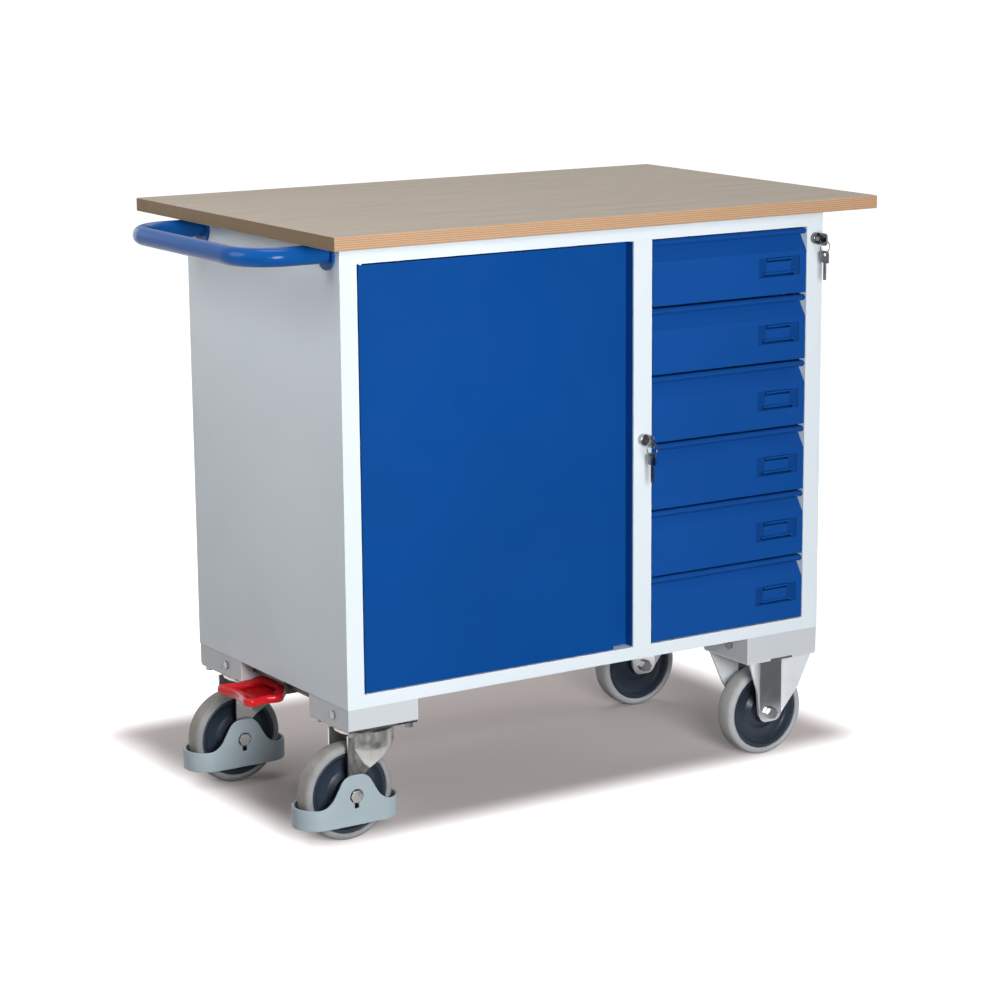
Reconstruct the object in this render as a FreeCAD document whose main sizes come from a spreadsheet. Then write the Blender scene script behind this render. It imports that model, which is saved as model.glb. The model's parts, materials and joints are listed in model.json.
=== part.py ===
import FreeCAD, Part
import Sketcher

import math
import os
import re

# Mobile workshop bench: a sheet-steel cabinet with a hinged door and six drawers, a plywood top,
# a push handle, two swivel castors with foot guards, two fixed castors and a foot brake.
# X runs along the bench with the push handle at -X, the front faces -Y and the wheels stand on Z = 0.

sizes = {
    # plywood top
    "top_length": 1050,
    "top_depth": 675,
    "top_thickness": 22,
    "top_edge_radius": 1.5,
    # cabinet
    "side_overhang": 53,
    "body_width": 944,
    "body_depth": 515,
    "body_height": 740,
    "plate": 1.5,
    "cut_past": 1,
    "fold_depth": 18,
    "rear_flange": 20,
    "stile_left": 30.5,
    "stile_right": 34,
    "post_offset": 550,
    "post_width": 36.5,
    "rail_height": 33,
    "rail_flange": 40,
    "sill_height": 22,
    "shelf_level": 330,
    "shelf_setback": 45,
    "shelf_fold": 20,
    # push handle
    "handle_reach": 135,
    "handle_radius": 15,
    "handle_wall": 2,
    "handle_bend": 67,
    "handle_drop": 18,
    "handle_front": 38,
    "handle_span": 419,
    "flange_radius": 26,
    "flange_thickness": 4,
    "flange_flat": 16,
    # door
    "door_gap": 2,
    "door_fold": 22,
    "grip_width": 38.5,
    "grip_depth": 18,
    "latch_fold": 8,
    "latch_clearance": 4,
    "hinge_inset": 5.5,
    "hinge_setback": 4,
    "hinge_pin_radius": 2,
    "hinge_collar_radius": 4.5,
    "hinge_collar_height": 1.8,
    "hinge_pin_length": 9,
    # drawers
    "drawer_count": 6,
    "drawer_gap": 4.4,
    "drawer_side_gap": 1.5,
    "drawer_plate": 1.2,
    "grip_height": 26.8,
    "front_recess": 17.5,
    "lip_height": 10,
    "lip_chamfer": 4,
    "front_return": 20,
    "label_width": 88,
    "label_height": 33,
    "label_inset": 13,
    "label_drop": 9,
    "label_recess": 2.5,
    "tab_height": 3,
    "tab_slot": 4,
    "upper_tab_inset": 1,
    "lower_tab_inset": 5,
    "tab_proud": 2.5,
    "upper_tab_length": 52,
    "lower_tab_length": 66,
    "box_floor": 4,
    "rim_drop": 19.8,
    "box_length": 450,
    "runner_depth": 12,
    "runner_clearance": 0.6,
    "runner_start": 60,
    "runner_length": 440,
    "runner_lip": 8,
    "runner_flange": 7,
    "upright_depth": 40,
    "upright_start": 58,
    "upright_spacing": 382,
    # locks and keys
    "door_lock_rise": 353.5,
    "drawer_lock_drop": 54,
    "bezel_radius": 10,
    "bezel_proud": 10,
    "bezel_chamfer": 1,
    "barrel_radius": 8,
    "barrel_length": 20,
    "plug_radius": 6,
    "plug_end": 23,
    "fit": 0.1,
    "cam_length": 30,
    "cam_width": 11,
    "cam_thickness": 2,
    "key_thickness": 2.2,
    "blade_width": 7,
    "blade_depth": 22,
    "blade_length": 26,
    "bow_width": 21,
    "bow_length": 21,
    "bow_neck": 3,
    "bow_corner": 6,
    "key_hole_radius": 3.5,
    "key_hole_inset": 6,
    "ring_radius": 10,
    "wire_radius": 0.9,
    "bar_width": 16,
    "bar_thickness": 3,
    "bar_offset": 2.5,
    "bar_head": 34,
    "bar_tab_reach": 4,
    "bar_tab_height": 5,
    "bar_tab_width": 8,
    "bar_tab_setback": 5,
    "bar_lift": 10,
    "catch_reach": 3.4,
    "catch_gap": 0.5,
    # castors
    "swivel_height": 197,
    "fixed_height": 188,
    "swivel_bracket_height": 35,
    "swivel_bracket_length": 130,
    "fixed_bracket_length": 153,
    "bracket_depth": 130,
    "rear_bracket_reach": 21,
    "bracket_plate": 3,
    "bracket_inset": 1,
    "front_bolt_offset": 15,
    "rear_bolt_offset": 32,
    "bracket_head_height": 3,
    "castor_plate": 4,
    "castor_plate_inset": 2,
    "swivel_bolt_across": 52,
    "swivel_bolt_along": 55,
    "fixed_bolt_across": 52,
    "fixed_bolt_along": 38,
    "bolt_radius": 4,
    "bolt_head": 6.5,
    "bolt_head_height": 8,
    "bolt_length": 16,
    "race_radius": 38,
    "race_height": 9,
    "swivel_gap": 0.5,
    "kingpin_radius": 7,
    "kingpin_head": 13,
    "kingpin_head_height": 4,
    "trail": 38,
    "wheel_radius": 80,
    "tyre_width": 40,
    "tyre_shoulder": 5,
    "tyre_bead": 2,
    "tyre_crown": 1,
    "tyre_clearance": 3,
    "tyre_height": 12.5,
    "rim_width": 34,
    "rim_ring": 8,
    "rim_web": 9,
    "rim_chamfer": 3,
    "web_rib": 4,
    "web_slope": 2,
    "hub_radius": 17,
    "hub_width": 57,
    "axle_radius": 5,
    "axle_head": 9.5,
    "axle_head_height": 9,
    "fork_outer": 33,
    "fork_plate": 4,
    "fork_rear": 48,
    "fork_foot": 14,
    "fork_foot_flat": 1,
    "dome_radius": 49,
    "dome_wall": 26,
    "dome_foot": 36,
    "dome_rim": 8,
    "fork_heel": 28,
    "leg_half_top": 67,
    "leg_half_foot": 19,
    "leg_foot": 16,
    "leg_channel": 24,
    "leg_crease": 44,
    "leg_crease_flare": 21,
    "leg_flare": 27,
    "guard_length": 184,
    "guard_outer": 41,
    "guard_wall": 4,
    "guard_base": 32,
    "guard_band": 34,
    "guard_bell_foot": 49,
    "guard_bell_head": 20,
    "guard_bell_height": 50,
    "guard_bell_curve": 34,
    "guard_bell_crown": 24,
    "guard_boss_radius": 16,
    "guard_key_radius": 12,
    "guard_slot": 8,
    "guard_slot_drop": 20,
    "guard_end_flat": 0.2,
    # foot brake
    "brake_level": 214,
    "brake_setback": 30,
    "brake_from_front": 309,
    "brake_shaft_radius": 6,
    "brake_hub_radius": 12,
    "pedal_reach": 73,
    "pedal_root": 8,
    "pedal_width": 114,
    "pedal_arm_width": 84,
    "pedal_thickness": 6,
    "pedal_drop": 30,
    "pedal_rim": 12,
    "pedal_lip": 6,
    "pedal_corner": 14,
    "pedal_scallop": 7,
    "housing_gap": 140,
    "housing_length": 50,
    "housing_plate": 3,
    "shaft_overlap": 15,
}

doc = FreeCAD.newDocument("MobileWorkbench")
table = doc.addObject("Spreadsheet::Sheet", "Sizes")
for row, (word, value) in enumerate(sizes.items(), start=1):
    table.set(f"A{row}", word)
    table.set(f"B{row}", str(value))
    table.setAlias(f"B{row}", word)
doc.recompute()


# ---- formulas: text that names the cells of the sheet ----

def cells(formula):
    return re.sub(r"[a-z_]+", lambda word: "Sizes." + word[0] if word[0] in sizes else word[0], str(formula))


def number(formula):
    result = table.evalExpression(cells(formula))
    return float(getattr(result, "Value", result))


def bind(thing, prop, formula):
    thing.setExpression(prop, cells(formula))


# ---- levels and lines shared by several sub-parts ----

topLeft = "((handle_reach + handle_radius - side_overhang - top_length) / 2)"
topRight = f"({topLeft} + top_length)"
bodyLeft = f"({topLeft} + side_overhang)"
bodyRight = f"({bodyLeft} + body_width)"
bodyFront = "(-body_depth / 2)"
bodyBack = "(body_depth / 2)"
bodyBottom = "(swivel_height + swivel_bracket_height)"
bodyTop = f"({bodyBottom} + body_height)"
sillTop = f"({bodyBottom} + sill_height)"
railBottom = f"({bodyTop} - rail_height)"
foldLine = f"({bodyFront} + fold_depth)"
webLeft = f"({bodyLeft} + plate)"
webRight = f"({bodyRight} - plate)"
backFace = f"({bodyBack} - 2 * plate)"
doorLeft = f"({bodyLeft} + stile_left)"
postLeft = f"({bodyLeft} + post_offset)"
postRight = f"({postLeft} + post_width)"
drawerRight = f"({bodyRight} - stile_right)"
drawerOpening = f"({drawerRight} - {postRight})"
openingHeight = f"({railBottom} - {sillTop})"
drawerPitch = f"({openingHeight} / drawer_count)"
frontHeight = f"({drawerPitch} - drawer_gap)"
frontFlat = f"({frontHeight} - lip_height - grip_height)"
boxRim = f"({frontHeight} - rim_drop)"
rimRadius = "(wheel_radius - tyre_height)"
boxInset = "(runner_depth + runner_clearance)"
swivelCentre = f"({bodyLeft} + swivel_bracket_length / 2)"
fixedCentre = f"({bodyRight} - fixed_bracket_length / 2)"
castorFront = f"({bodyFront} + bracket_depth / 2)"
castorRear = f"({bodyBack} - bracket_depth / 2)"
brakeLine = f"({bodyLeft} + brake_setback)"
brakeCentre = f"({bodyFront} + brake_from_front)"


def drawerBase(step):
    # underside of a drawer, counted from the lowest
    return f"({sillTop} + drawer_gap / 2 + {step} * {drawerPitch})"


# ---- sketches whose every point is bound to the sheet ----

def offsetCorners(points, distance):
    # corners of a line of segments moved sideways, to the left for a positive distance
    normals = []
    for (ax, ay), (bx, by) in zip(points, points[1:]):
        length = math.hypot(bx - ax, by - ay)
        normals.append((-(by - ay) / length, (bx - ax) / length))
    moved = []
    for index, (x, y) in enumerate(points):
        before = normals[max(index - 1, 0)]
        after = normals[min(index, len(normals) - 1)]
        scale = distance / (1 + before[0] * after[0] + before[1] * after[1])
        moved.append((x + (before[0] + after[0]) * scale, y + (before[1] + after[1]) * scale))
    return moved


class Outline:
    def __init__(self, body, role, offset):
        self.sketch = body.newObject("Sketcher::SketchObject", "Outline")
        plane = next(item for item in body.Origin.OriginFeatures if item.Role == role)
        self.sketch.AttachmentSupport = [(plane, "")]
        self.sketch.MapMode = "FlatFace"
        bind(self.sketch, "AttachmentOffset.Base.z", offset)
        self.rules = []
        self.formulas = []

    def add(self, *shapes, construction=False):
        return self.sketch.addGeometry(list(shapes), construction)

    def rule(self, *rule):
        self.rules.append(Sketcher.Constraint(*rule))
        self.formulas.append(None)

    def datum(self, formula, *rule):
        self.rules.append(Sketcher.Constraint(*rule, number(formula)))
        self.formulas.append(formula)

    def pin(self, shape, spot, point):
        self.datum(point[0], "DistanceX", -1, 1, shape, spot)
        self.datum(point[1], "DistanceY", -1, 1, shape, spot)

    def finish(self):
        self.sketch.addConstraint(self.rules)
        for index, formula in enumerate(self.formulas):
            if formula is not None:
                bind(self.sketch, f"Constraints[{index}]", formula)
        return self.sketch

    def line(self, start, end):
        return Part.LineSegment(FreeCAD.Vector(*start, 0), FreeCAD.Vector(*end, 0))

    def polygon(self, points):
        places = [(number(x), number(y)) for x, y in points]
        lines = self.add(*[self.line(a, b) for a, b in zip(places, places[1:] + places[:1])])
        for index, point in enumerate(points):
            self.rule("Coincident", lines[index - 1], 2, lines[index], 1)
            self.pin(lines[index], 1, point)

    def rectangle(self, left, right, low, high):
        self.polygon([(left, low), (right, low), (right, high), (left, high)])

    def circle(self, x, y, radius):
        centre = FreeCAD.Vector(number(x), number(y), 0)
        shape = self.add(Part.Circle(centre, FreeCAD.Vector(0, 0, 1), number(radius)))[0]
        self.pin(shape, 3, (x, y))
        self.datum(radius, "Radius", shape)

    def foldedSheet(self, points, thickness, side=1):
        # a folded strip: its outer face runs through the points and its thickness lies to one side
        outer = [(number(x), number(y)) for x, y in points]
        inner = offsetCorners(outer, side * number(thickness))[::-1]
        count = len(points) - 1
        ring = outer + inner
        lines = self.add(*[self.line(a, b) for a, b in zip(ring, ring[1:] + ring[:1])])
        for index in range(len(lines)):
            self.rule("Coincident", lines[index - 1], 2, lines[index], 1)
        for index, point in enumerate(points):
            self.pin(lines[index], 1, point)
        for index in range(count):
            opposite = lines[len(lines) - 2 - index]
            self.rule("Parallel", opposite, lines[index])
            self.datum(thickness, "Distance", opposite, 1, lines[index])
        self.rule("Perpendicular", lines[count], lines[count - 1])
        self.rule("Perpendicular", lines[-1], lines[0])

    def rounded(self, corners, closed=True):
        # straight runs joined by tangent arcs: corners are (x, y, radius), with a radius of None left sharp
        places = [FreeCAD.Vector(number(x), number(y), 0) for x, y, radius in corners]
        total = len(corners)
        starts, ends, arcs = list(places), list(places), [None] * total
        for index, (x, y, radius) in enumerate(corners):
            if radius is None:
                continue
            size = number(radius)
            before = (places[index] - places[index - 1]).normalize()
            after = (places[(index + 1) % total] - places[index]).normalize()
            turn = before.getAngle(after)
            left = before.cross(after).z > 0
            reach = size * math.tan(turn / 2)
            first, last = places[index] - before * reach, places[index] + after * reach
            inward = FreeCAD.Vector(-before.y, before.x, 0) * (size if left else -size)
            centre = first + inward
            angles = [math.atan2((spot - centre).y, (spot - centre).x) for spot in (first, last)]
            if not left:
                angles.reverse()
            circle = Part.Circle(centre, FreeCAD.Vector(0, 0, 1), size)
            arcs[index] = self.add(Part.ArcOfCircle(circle, *angles))[0], left
            ends[index], starts[index] = first, last
        count = total if closed else total - 1
        lines = [self.add(Part.LineSegment(starts[i], ends[(i + 1) % total]))[0] for i in range(count)]
        for index, (x, y, radius) in enumerate(corners):
            after = lines[index] if index < count else None
            before = lines[index - 1] if closed or index else None
            if radius is None:
                if before is not None and after is not None:
                    self.rule("Coincident", before, 2, after, 1)
                self.pin(before if after is None else after, 2 if after is None else 1, (x, y))
                continue
            arc, left = arcs[index]
            self.rule("Tangent", before, 2, arc, 1 if left else 2)
            self.rule("Tangent", after, 1, arc, 2 if left else 1)
            self.datum(radius, "Radius", arc)
            corner = self.add(Part.Point(places[index]), construction=True)[0]
            self.rule("PointOnObject", corner, 1, before)
            self.rule("PointOnObject", corner, 1, after)
            self.pin(corner, 1, (x, y))


# ---- features: sizes are given as formulas, and each runs between two places along one axis ----

roles = {"x": "YZ_Plane", "y": "XZ_Plane", "z": "XY_Plane"}


def newBody(label, x=None, y=None, z=None):
    body = doc.addObject("PartDesign::Body", label)
    body.Label = label
    body.AllowCompound = True
    for axis, place in (("x", x), ("y", y), ("z", z)):
        if place is not None:
            bind(body, f"Placement.Base.{axis}", place)
    return body


def pad(body, axis, start, end, draw):
    # the XZ plane faces -Y, so a pad along Y starts at its far end
    outline = Outline(body, roles[axis], f"-({end})" if axis == "y" else start)
    draw(outline)
    feature = body.newObject("PartDesign::Pad", "Pad")
    feature.Profile = outline.finish()
    bind(feature, "Length", f"({end}) - ({start})")
    doc.recompute()
    return feature


def cut(body, axis, start, end, draw):
    outline = Outline(body, roles[axis], f"-({start})" if axis == "y" else end)
    draw(outline)
    before = body.Shape.Volume
    feature = body.newObject("PartDesign::Pocket", "Pocket")
    feature.Profile = outline.finish()
    bind(feature, "Length", f"({end}) - ({start})")
    doc.recompute()
    if body.Shape.Volume > before - 1e-6:
        raise ValueError(f"a pocket in {body.Label} removes nothing")
    return feature


def revolve(body, role, axis, draw):
    outline = Outline(body, role, "0")
    draw(outline)
    feature = body.newObject("PartDesign::Revolution", "Revolution")
    feature.Profile = outline.finish()
    feature.ReferenceAxis = (feature.Profile[0], [axis])
    feature.Angle = 360
    doc.recompute()
    return feature


def turn(body, draw):
    # a profile of (along, out) turned about the body's own Y axis
    return revolve(body, "YZ_Plane", "H_Axis", draw)


def rectangle(*sides):
    return lambda outline: outline.rectangle(*sides)


def rectangles(*boxes):
    return lambda outline: [outline.rectangle(*sides) for sides in boxes]


def circles(radius, *centres):
    return lambda outline: [outline.circle(x, y, radius) for x, y in centres]


# ---- plywood top ----

def makeWorktop():
    body = newBody("worktop")
    board = pad(body, "z", bodyTop, f"{bodyTop} + top_thickness",
                rectangle(topLeft, topRight, "-top_depth / 2", "top_depth / 2"))
    edges = body.newObject("PartDesign::Fillet", "Edges")
    edges.Base = (board, [""])
    edges.UseAllEdges = True
    bind(edges, "Radius", "top_edge_radius")
    return body


# ---- cabinet ----

def makeSidePanel(label, wall, inward, stile):
    # outer wall with a rear flange, and a front stile whose edge folds back into the cabinet
    body = newBody(label)
    edge = f"{wall} + {inward} * {stile}"
    points = [
        (f"{wall} + {inward} * rear_flange", bodyBack),
        (wall, bodyBack),
        (wall, bodyFront),
        (edge, bodyFront),
        (edge, foldLine),
    ]
    pad(body, "z", bodyBottom, bodyTop, lambda outline: outline.foldedSheet(points, "plate", inward))
    return body


def makeBackPanel():
    body = newBody("back_panel")
    face = f"({bodyBack} - plate)"
    points = [(f"{face} - rail_flange", bodyTop), (face, bodyTop), (face, bodyBottom)]
    pad(body, "x", webLeft, webRight, lambda outline: outline.foldedSheet(points, "plate", -1))
    return body


def makeFloorPanel():
    body = newBody("floor_panel")
    corners = [
        (doorLeft, bodyFront),
        (drawerRight, bodyFront),
        (drawerRight, foldLine),
        (webRight, foldLine),
        (webRight, backFace),
        (webLeft, backFace),
        (webLeft, foldLine),
        (doorLeft, foldLine),
    ]
    skirts = [
        (doorLeft, drawerRight, bodyFront, f"{bodyFront} + plate"),
        (webLeft, webRight, f"{backFace} - plate", backFace),
        (webLeft, f"{webLeft} + plate", foldLine, backFace),
        (f"{webRight} - plate", webRight, foldLine, backFace),
    ]
    pad(body, "z", f"{sillTop} - plate", sillTop, lambda outline: outline.polygon(corners))
    for skirt in skirts:
        pad(body, "z", bodyBottom, f"{sillTop} - plate", rectangle(*skirt))
    return body


def makeTopRail():
    body = newBody("top_rail_front")
    points = [
        (f"{bodyFront} + rail_flange", bodyTop),
        (bodyFront, bodyTop),
        (bodyFront, railBottom),
        (foldLine, railBottom),
    ]
    pad(body, "x", doorLeft, drawerRight, lambda outline: outline.foldedSheet(points, "plate"))
    return body


def makePartition():
    # one sheet: the centre post between door and drawers, and the wall behind it
    body = newBody("centre_partition")
    points = [
        (postLeft, foldLine),
        (postLeft, bodyFront),
        (postRight, bodyFront),
        (postRight, backFace),
    ]
    pad(body, "z", sillTop, railBottom, lambda outline: outline.foldedSheet(points, "plate"))
    pad(body, "z", railBottom, f"{bodyTop} - plate",
        rectangle(f"{postRight} - plate", postRight, f"{bodyFront} + rail_flange", backFace))
    cut(body, "y", bodyFront, f"{bodyFront} + plate", circles("barrel_radius + fit", (doorLockX, doorLockZ)))
    return body


def makeShelf():
    body = newBody("cupboard_shelf")
    level = f"({sillTop} + shelf_level)"
    front = f"({bodyFront} + shelf_setback)"
    right = f"({postRight} - plate)"
    pad(body, "z", f"{level} - plate", level, rectangle(webLeft, right, front, backFace))
    folds = [
        (webLeft, right, front, f"{front} + plate"),
        (webLeft, f"{webLeft} + plate", f"{front} + plate", backFace),
        (f"{right} - plate", right, f"{front} + plate", backFace),
    ]
    for fold in folds:
        pad(body, "z", f"{level} - shelf_fold", f"{level} - plate", rectangle(*fold))
    return body


def makeRunners():
    # C channels on both walls of the drawer bay, open towards the drawers
    body = newBody("cabinet_runners")
    rim = f"({drawerBase(0)} + {boxRim})"
    low = f"({rim} - runner_lip - runner_clearance - plate)"
    high = f"({rim} + drawer_plate + runner_clearance + plate)"
    start = f"({bodyFront} + runner_start)"
    channels = []
    for wall, inward in ((postRight, 1), (drawerRight, -1)):
        tip = f"{wall} + {inward} * runner_depth"
        points = [(tip, high), (wall, high), (wall, low), (tip, low)]
        channels.append(pad(body, "y", start, f"{start} + runner_length",
                            lambda outline: outline.foldedSheet(points, "plate", inward)))
    rows = body.newObject("PartDesign::LinearPattern", "Rows")
    rows.Originals = channels
    rows.Direction = (channels[0].Profile[0], ["V_Axis"])
    bind(rows, "Length", f"{drawerPitch} * (drawer_count - 1)")
    bind(rows, "Occurrences", "drawer_count")
    body.Tip = rows
    return body


def makeUprights():
    body = newBody("runner_uprights")
    front = f"({bodyFront} + upright_start)"

    def draw(outline):
        for near in (front, f"({front} + upright_spacing)"):
            far = f"{near} + upright_depth"
            points = [(webRight, far), (drawerRight, far), (drawerRight, near), (webRight, near)]
            outline.foldedSheet(points, "plate")
    pad(body, "z", sillTop, f"{bodyTop} - plate", draw)
    return body


# ---- push handle ----

handleFront = f"({bodyFront} + handle_front)"
handleRear = f"({handleFront} + handle_span)"
handleLevel = f"({bodyTop} - handle_drop)"


def makeHandle():
    body = newBody("push_handle")
    start = f"({bodyLeft} - flange_thickness)"
    outer = f"({bodyLeft} - handle_reach)"
    route = Outline(body, "XY_Plane", handleLevel)
    route.rounded([
        (start, handleFront, None),
        (outer, handleFront, "handle_bend"),
        (outer, handleRear, "handle_bend"),
        (start, handleRear, None),
    ], closed=False)
    section = Outline(body, "YZ_Plane", start)
    section.circle(handleFront, handleLevel, "handle_radius")
    section.circle(handleFront, handleLevel, "handle_radius - handle_wall")
    tube = body.newObject("PartDesign::AdditivePipe", "Tube")
    tube.Profile = section.finish()
    spine = route.finish()
    doc.recompute()
    tube.Spine = (spine, [f"Edge{index + 1}" for index in range(len(spine.Shape.Edges))])
    doc.recompute()
    ends = [(place, handleLevel) for place in (handleFront, handleRear)]
    pad(body, "x", start, bodyLeft, circles("flange_radius", *ends))
    for place, level in ends:
        low = f"{level} + flange_flat"
        high = f"{level} + flange_radius + cut_past"
        cut(body, "x", start, bodyLeft,
            rectangle(f"{place} - flange_radius", f"{place} + flange_radius", low, high))
    cut(body, "x", start, bodyLeft, circles("bolt_radius + fit", *ends))
    return body


# ---- door ----

doorEdge = f"({postLeft} - door_gap)"
doorLow = f"({sillTop} + door_gap)"
doorHigh = f"({railBottom} - door_gap)"
hingeX = f"({doorLeft} + door_gap + hinge_inset)"
hingeY = f"({bodyFront} + hinge_setback)"


def makeDoor():
    # one folded sheet: hinge fold, face, a channel for the fingers, and a folded latch edge behind it
    body = newBody("door_panel")
    left = f"({doorLeft} + door_gap)"
    step = f"({doorEdge} - grip_width)"
    strip = f"({bodyFront} + grip_depth)"
    rear = f"({strip} + latch_fold)"
    points = [
        (left, f"{bodyFront} + door_fold"),
        (left, bodyFront),
        (step, bodyFront),
        (step, strip),
        (doorEdge, strip),
        (doorEdge, rear),
        (f"{doorEdge} - latch_fold", rear),
    ]
    pad(body, "z", doorLow, doorHigh, lambda outline: outline.foldedSheet(points, "plate"))
    pad(body, "z", doorLow, doorHigh, rectangle(f"{doorEdge} - plate", doorEdge, bodyFront, rear))
    cap = (f"{left} + plate", f"{step} - plate", f"{bodyFront} + plate", f"{bodyFront} + door_fold")
    for low in (doorLow, f"({doorHigh} - plate)"):
        pad(body, "z", low, f"{low} + plate", rectangle(*cap))
        cut(body, "z", low, f"{low} + plate", circles("hinge_pin_radius + fit", (hingeX, hingeY)))
    cut(body, "x", f"{doorEdge} - plate", doorEdge,
        rectangle(f"{strip} + plate", f"{rear} - plate",
                  f"{doorLockZ} - cam_width", f"{doorLockZ} + cam_length + latch_clearance"))
    return body


def makeHingePins():
    # a collar and a pin at the foot and the head of the door
    body = newBody("door_hinge_pins")
    steps = (("hinge_collar_radius", "hinge_collar_height"), ("hinge_pin_radius", "hinge_pin_length"))
    for radius, length in steps:
        pad(body, "z", sillTop, f"{sillTop} + {length}", circles(radius, (hingeX, hingeY)))
        pad(body, "z", f"{railBottom} - {length}", railBottom, circles(radius, (hingeX, hingeY)))
    return body


# ---- locks and keys, built on the lock's own axis with the face of the cabinet at Y = 0 ----

doorLockX = f"({postLeft} + post_width / 2)"
doorLockZ = f"({sillTop} + door_lock_rise)"
drawerLockX = f"({bodyRight} - stile_right / 2)"
drawerLockZ = f"({bodyTop} - drawer_lock_drop)"
plugFace = "(fit - bezel_proud)"
keyHoleY = f"({plugFace} - bow_neck - bow_length + key_hole_inset)"
ringTop = "(wire_radius + 2 * fit - key_hole_radius)"
ringCentre = f"({ringTop} - ring_radius)"
spareHole = f"({ringCentre} - ring_radius + wire_radius - key_hole_radius + fit)"


def makeBarrel(label, x, z):
    body = newBody(label, x, bodyFront, z)
    bore = "plug_radius + fit"
    points = [
        ("-bezel_proud", bore),
        ("-bezel_proud", "bezel_radius - bezel_chamfer"),
        ("bezel_chamfer - bezel_proud", "bezel_radius"),
        ("0", "bezel_radius"),
        ("0", "barrel_radius"),
        ("barrel_length", "barrel_radius"),
        ("barrel_length", bore),
    ]
    turn(body, lambda outline: outline.polygon(points))
    return body


def makePlug(label, x, z, camLength):
    # turning core with the key slot in front and the cam behind the barrel
    body = newBody(label, x, bodyFront, z)
    pad(body, "y", plugFace, "plug_end", circles("plug_radius", ("0", "0")))
    pad(body, "y", "plug_end - cam_thickness", "plug_end",
        rectangle("-cam_width / 2", "cam_width / 2", "-cam_width / 2", camLength))
    cut(body, "y", plugFace, f"{plugFace} + blade_depth",
        rectangle("-key_thickness / 2 - fit", "key_thickness / 2 + fit", "-blade_width / 2 - fit",
                  "blade_width / 2 + fit"))
    return body


def keyOutline(tip, root, away):
    # a rounded bow and a plain blade, drawn in (across, along) from the tip of the blade
    bowEnd = f"{root} + {away} * (bow_neck + bow_length)"
    neck = f"{root} + {away} * bow_neck"
    return [
        (tip, "-blade_width / 2", None),
        (neck, "-blade_width / 2", None),
        (neck, "-bow_width / 2", "bow_corner / 2"),
        (bowEnd, "-bow_width / 2", "bow_corner"),
        (bowEnd, "bow_width / 2", "bow_corner"),
        (neck, "bow_width / 2", "bow_corner / 2"),
        (neck, "blade_width / 2", None),
        (tip, "blade_width / 2", None),
    ]


def makeKey(label, x, z):
    body = newBody(label, x, bodyFront, z)
    half = "key_thickness / 2"

    def draw(outline):
        outline.rounded(keyOutline(f"({plugFace} + blade_depth)", plugFace, -1))
        outline.circle(keyHoleY, "0", "key_hole_radius")
    pad(body, "x", f"-{half}", half, draw)
    return body


def makeRing(label, x, z):
    # wire ring through the hole of the key, hanging in the plane of the cabinet's face
    ring = doc.addObject("Part::Torus", label)
    ring.Label = label
    bind(ring, "Radius1", "ring_radius")
    bind(ring, "Radius2", "wire_radius")
    ring.Placement.Rotation = FreeCAD.Rotation(FreeCAD.Vector(1, 0, 0), 90)
    for axis, place in (("x", x), ("y", f"{bodyFront} + {keyHoleY}"), ("z", f"{z} + {ringCentre}")):
        bind(ring, f"Placement.Base.{axis}", place)
    return ring


def makeSpareKey(label, x, z):
    body = newBody(label, x, f"{bodyFront} + {keyHoleY}", f"{z} + {spareHole}")
    half = "key_thickness / 2"
    root = "(key_hole_inset - bow_neck - bow_length)"

    def draw(outline):
        across = keyOutline(f"({root} - blade_length)", root, 1)
        outline.rounded([(y, x, radius) for x, y, radius in across])
        outline.circle("0", "0", "key_hole_radius")
    pad(body, "x", f"-{half}", half, draw)
    return body


barRear = "(upright_start - 2 * fit)"
tabRear = f"({barRear} - bar_tab_setback)"


def makeLockBar():
    # upright bar beside the drawers: a wide head behind the lock, and one tab in front of each drawer's catch
    body = newBody("drawer_lock_bar", drawerRight, bodyFront)
    edge = "(bar_offset + bar_thickness)"
    head = f"({drawerLockZ} - bezel_radius)"
    top = f"({drawerLockZ} + bezel_radius)"
    pad(body, "z", f"{sillTop} + bar_lift", top,
        rectangle("bar_offset", edge, f"{barRear} - bar_width", barRear))
    pad(body, "z", head, top,
        rectangle("bar_offset", edge, f"{barRear} - bar_head", f"{barRear} - bar_width"))
    high = f"({drawerBase(0)} + {boxRim} - runner_lip - bar_lift / 2)"
    tab = pad(body, "z", f"{high} - bar_tab_height", high,
              rectangle("-bar_tab_reach", "bar_offset", f"{tabRear} - bar_tab_width", tabRear))
    rows = body.newObject("PartDesign::LinearPattern", "Tabs")
    rows.Originals = [tab]
    rows.Direction = (tab.Profile[0], ["N_Axis"])
    bind(rows, "Length", f"{drawerPitch} * (drawer_count - 1)")
    bind(rows, "Occurrences", "drawer_count")
    body.Tip = rows
    return body


# ---- drawers, each built on the lower left corner of its own space ----

frontWidth = f"({drawerOpening} - 2 * drawer_side_gap)"
boxWidth = f"({drawerOpening} - 2 * {boxInset})"


def makeDrawerFront(label, base):
    # a flat face that slopes back to a full-width finger grip under a square lip
    body = newBody(label, f"{postRight} + drawer_side_gap", bodyFront, base)
    lipLow = f"({frontHeight} - lip_height)"
    points = [
        ("front_return", "0"),
        ("0", "0"),
        ("0", frontFlat),
        ("front_recess", lipLow),
        ("lip_chamfer", lipLow),
        ("0", f"{lipLow} + lip_chamfer"),
        ("0", f"{frontHeight} - lip_chamfer"),
        ("lip_chamfer", frontHeight),
        ("front_return", frontHeight),
    ]
    pad(body, "x", "0", frontWidth, lambda outline: outline.foldedSheet(points, "drawer_plate", -1))
    makeLabelPan(body)
    return body


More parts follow.
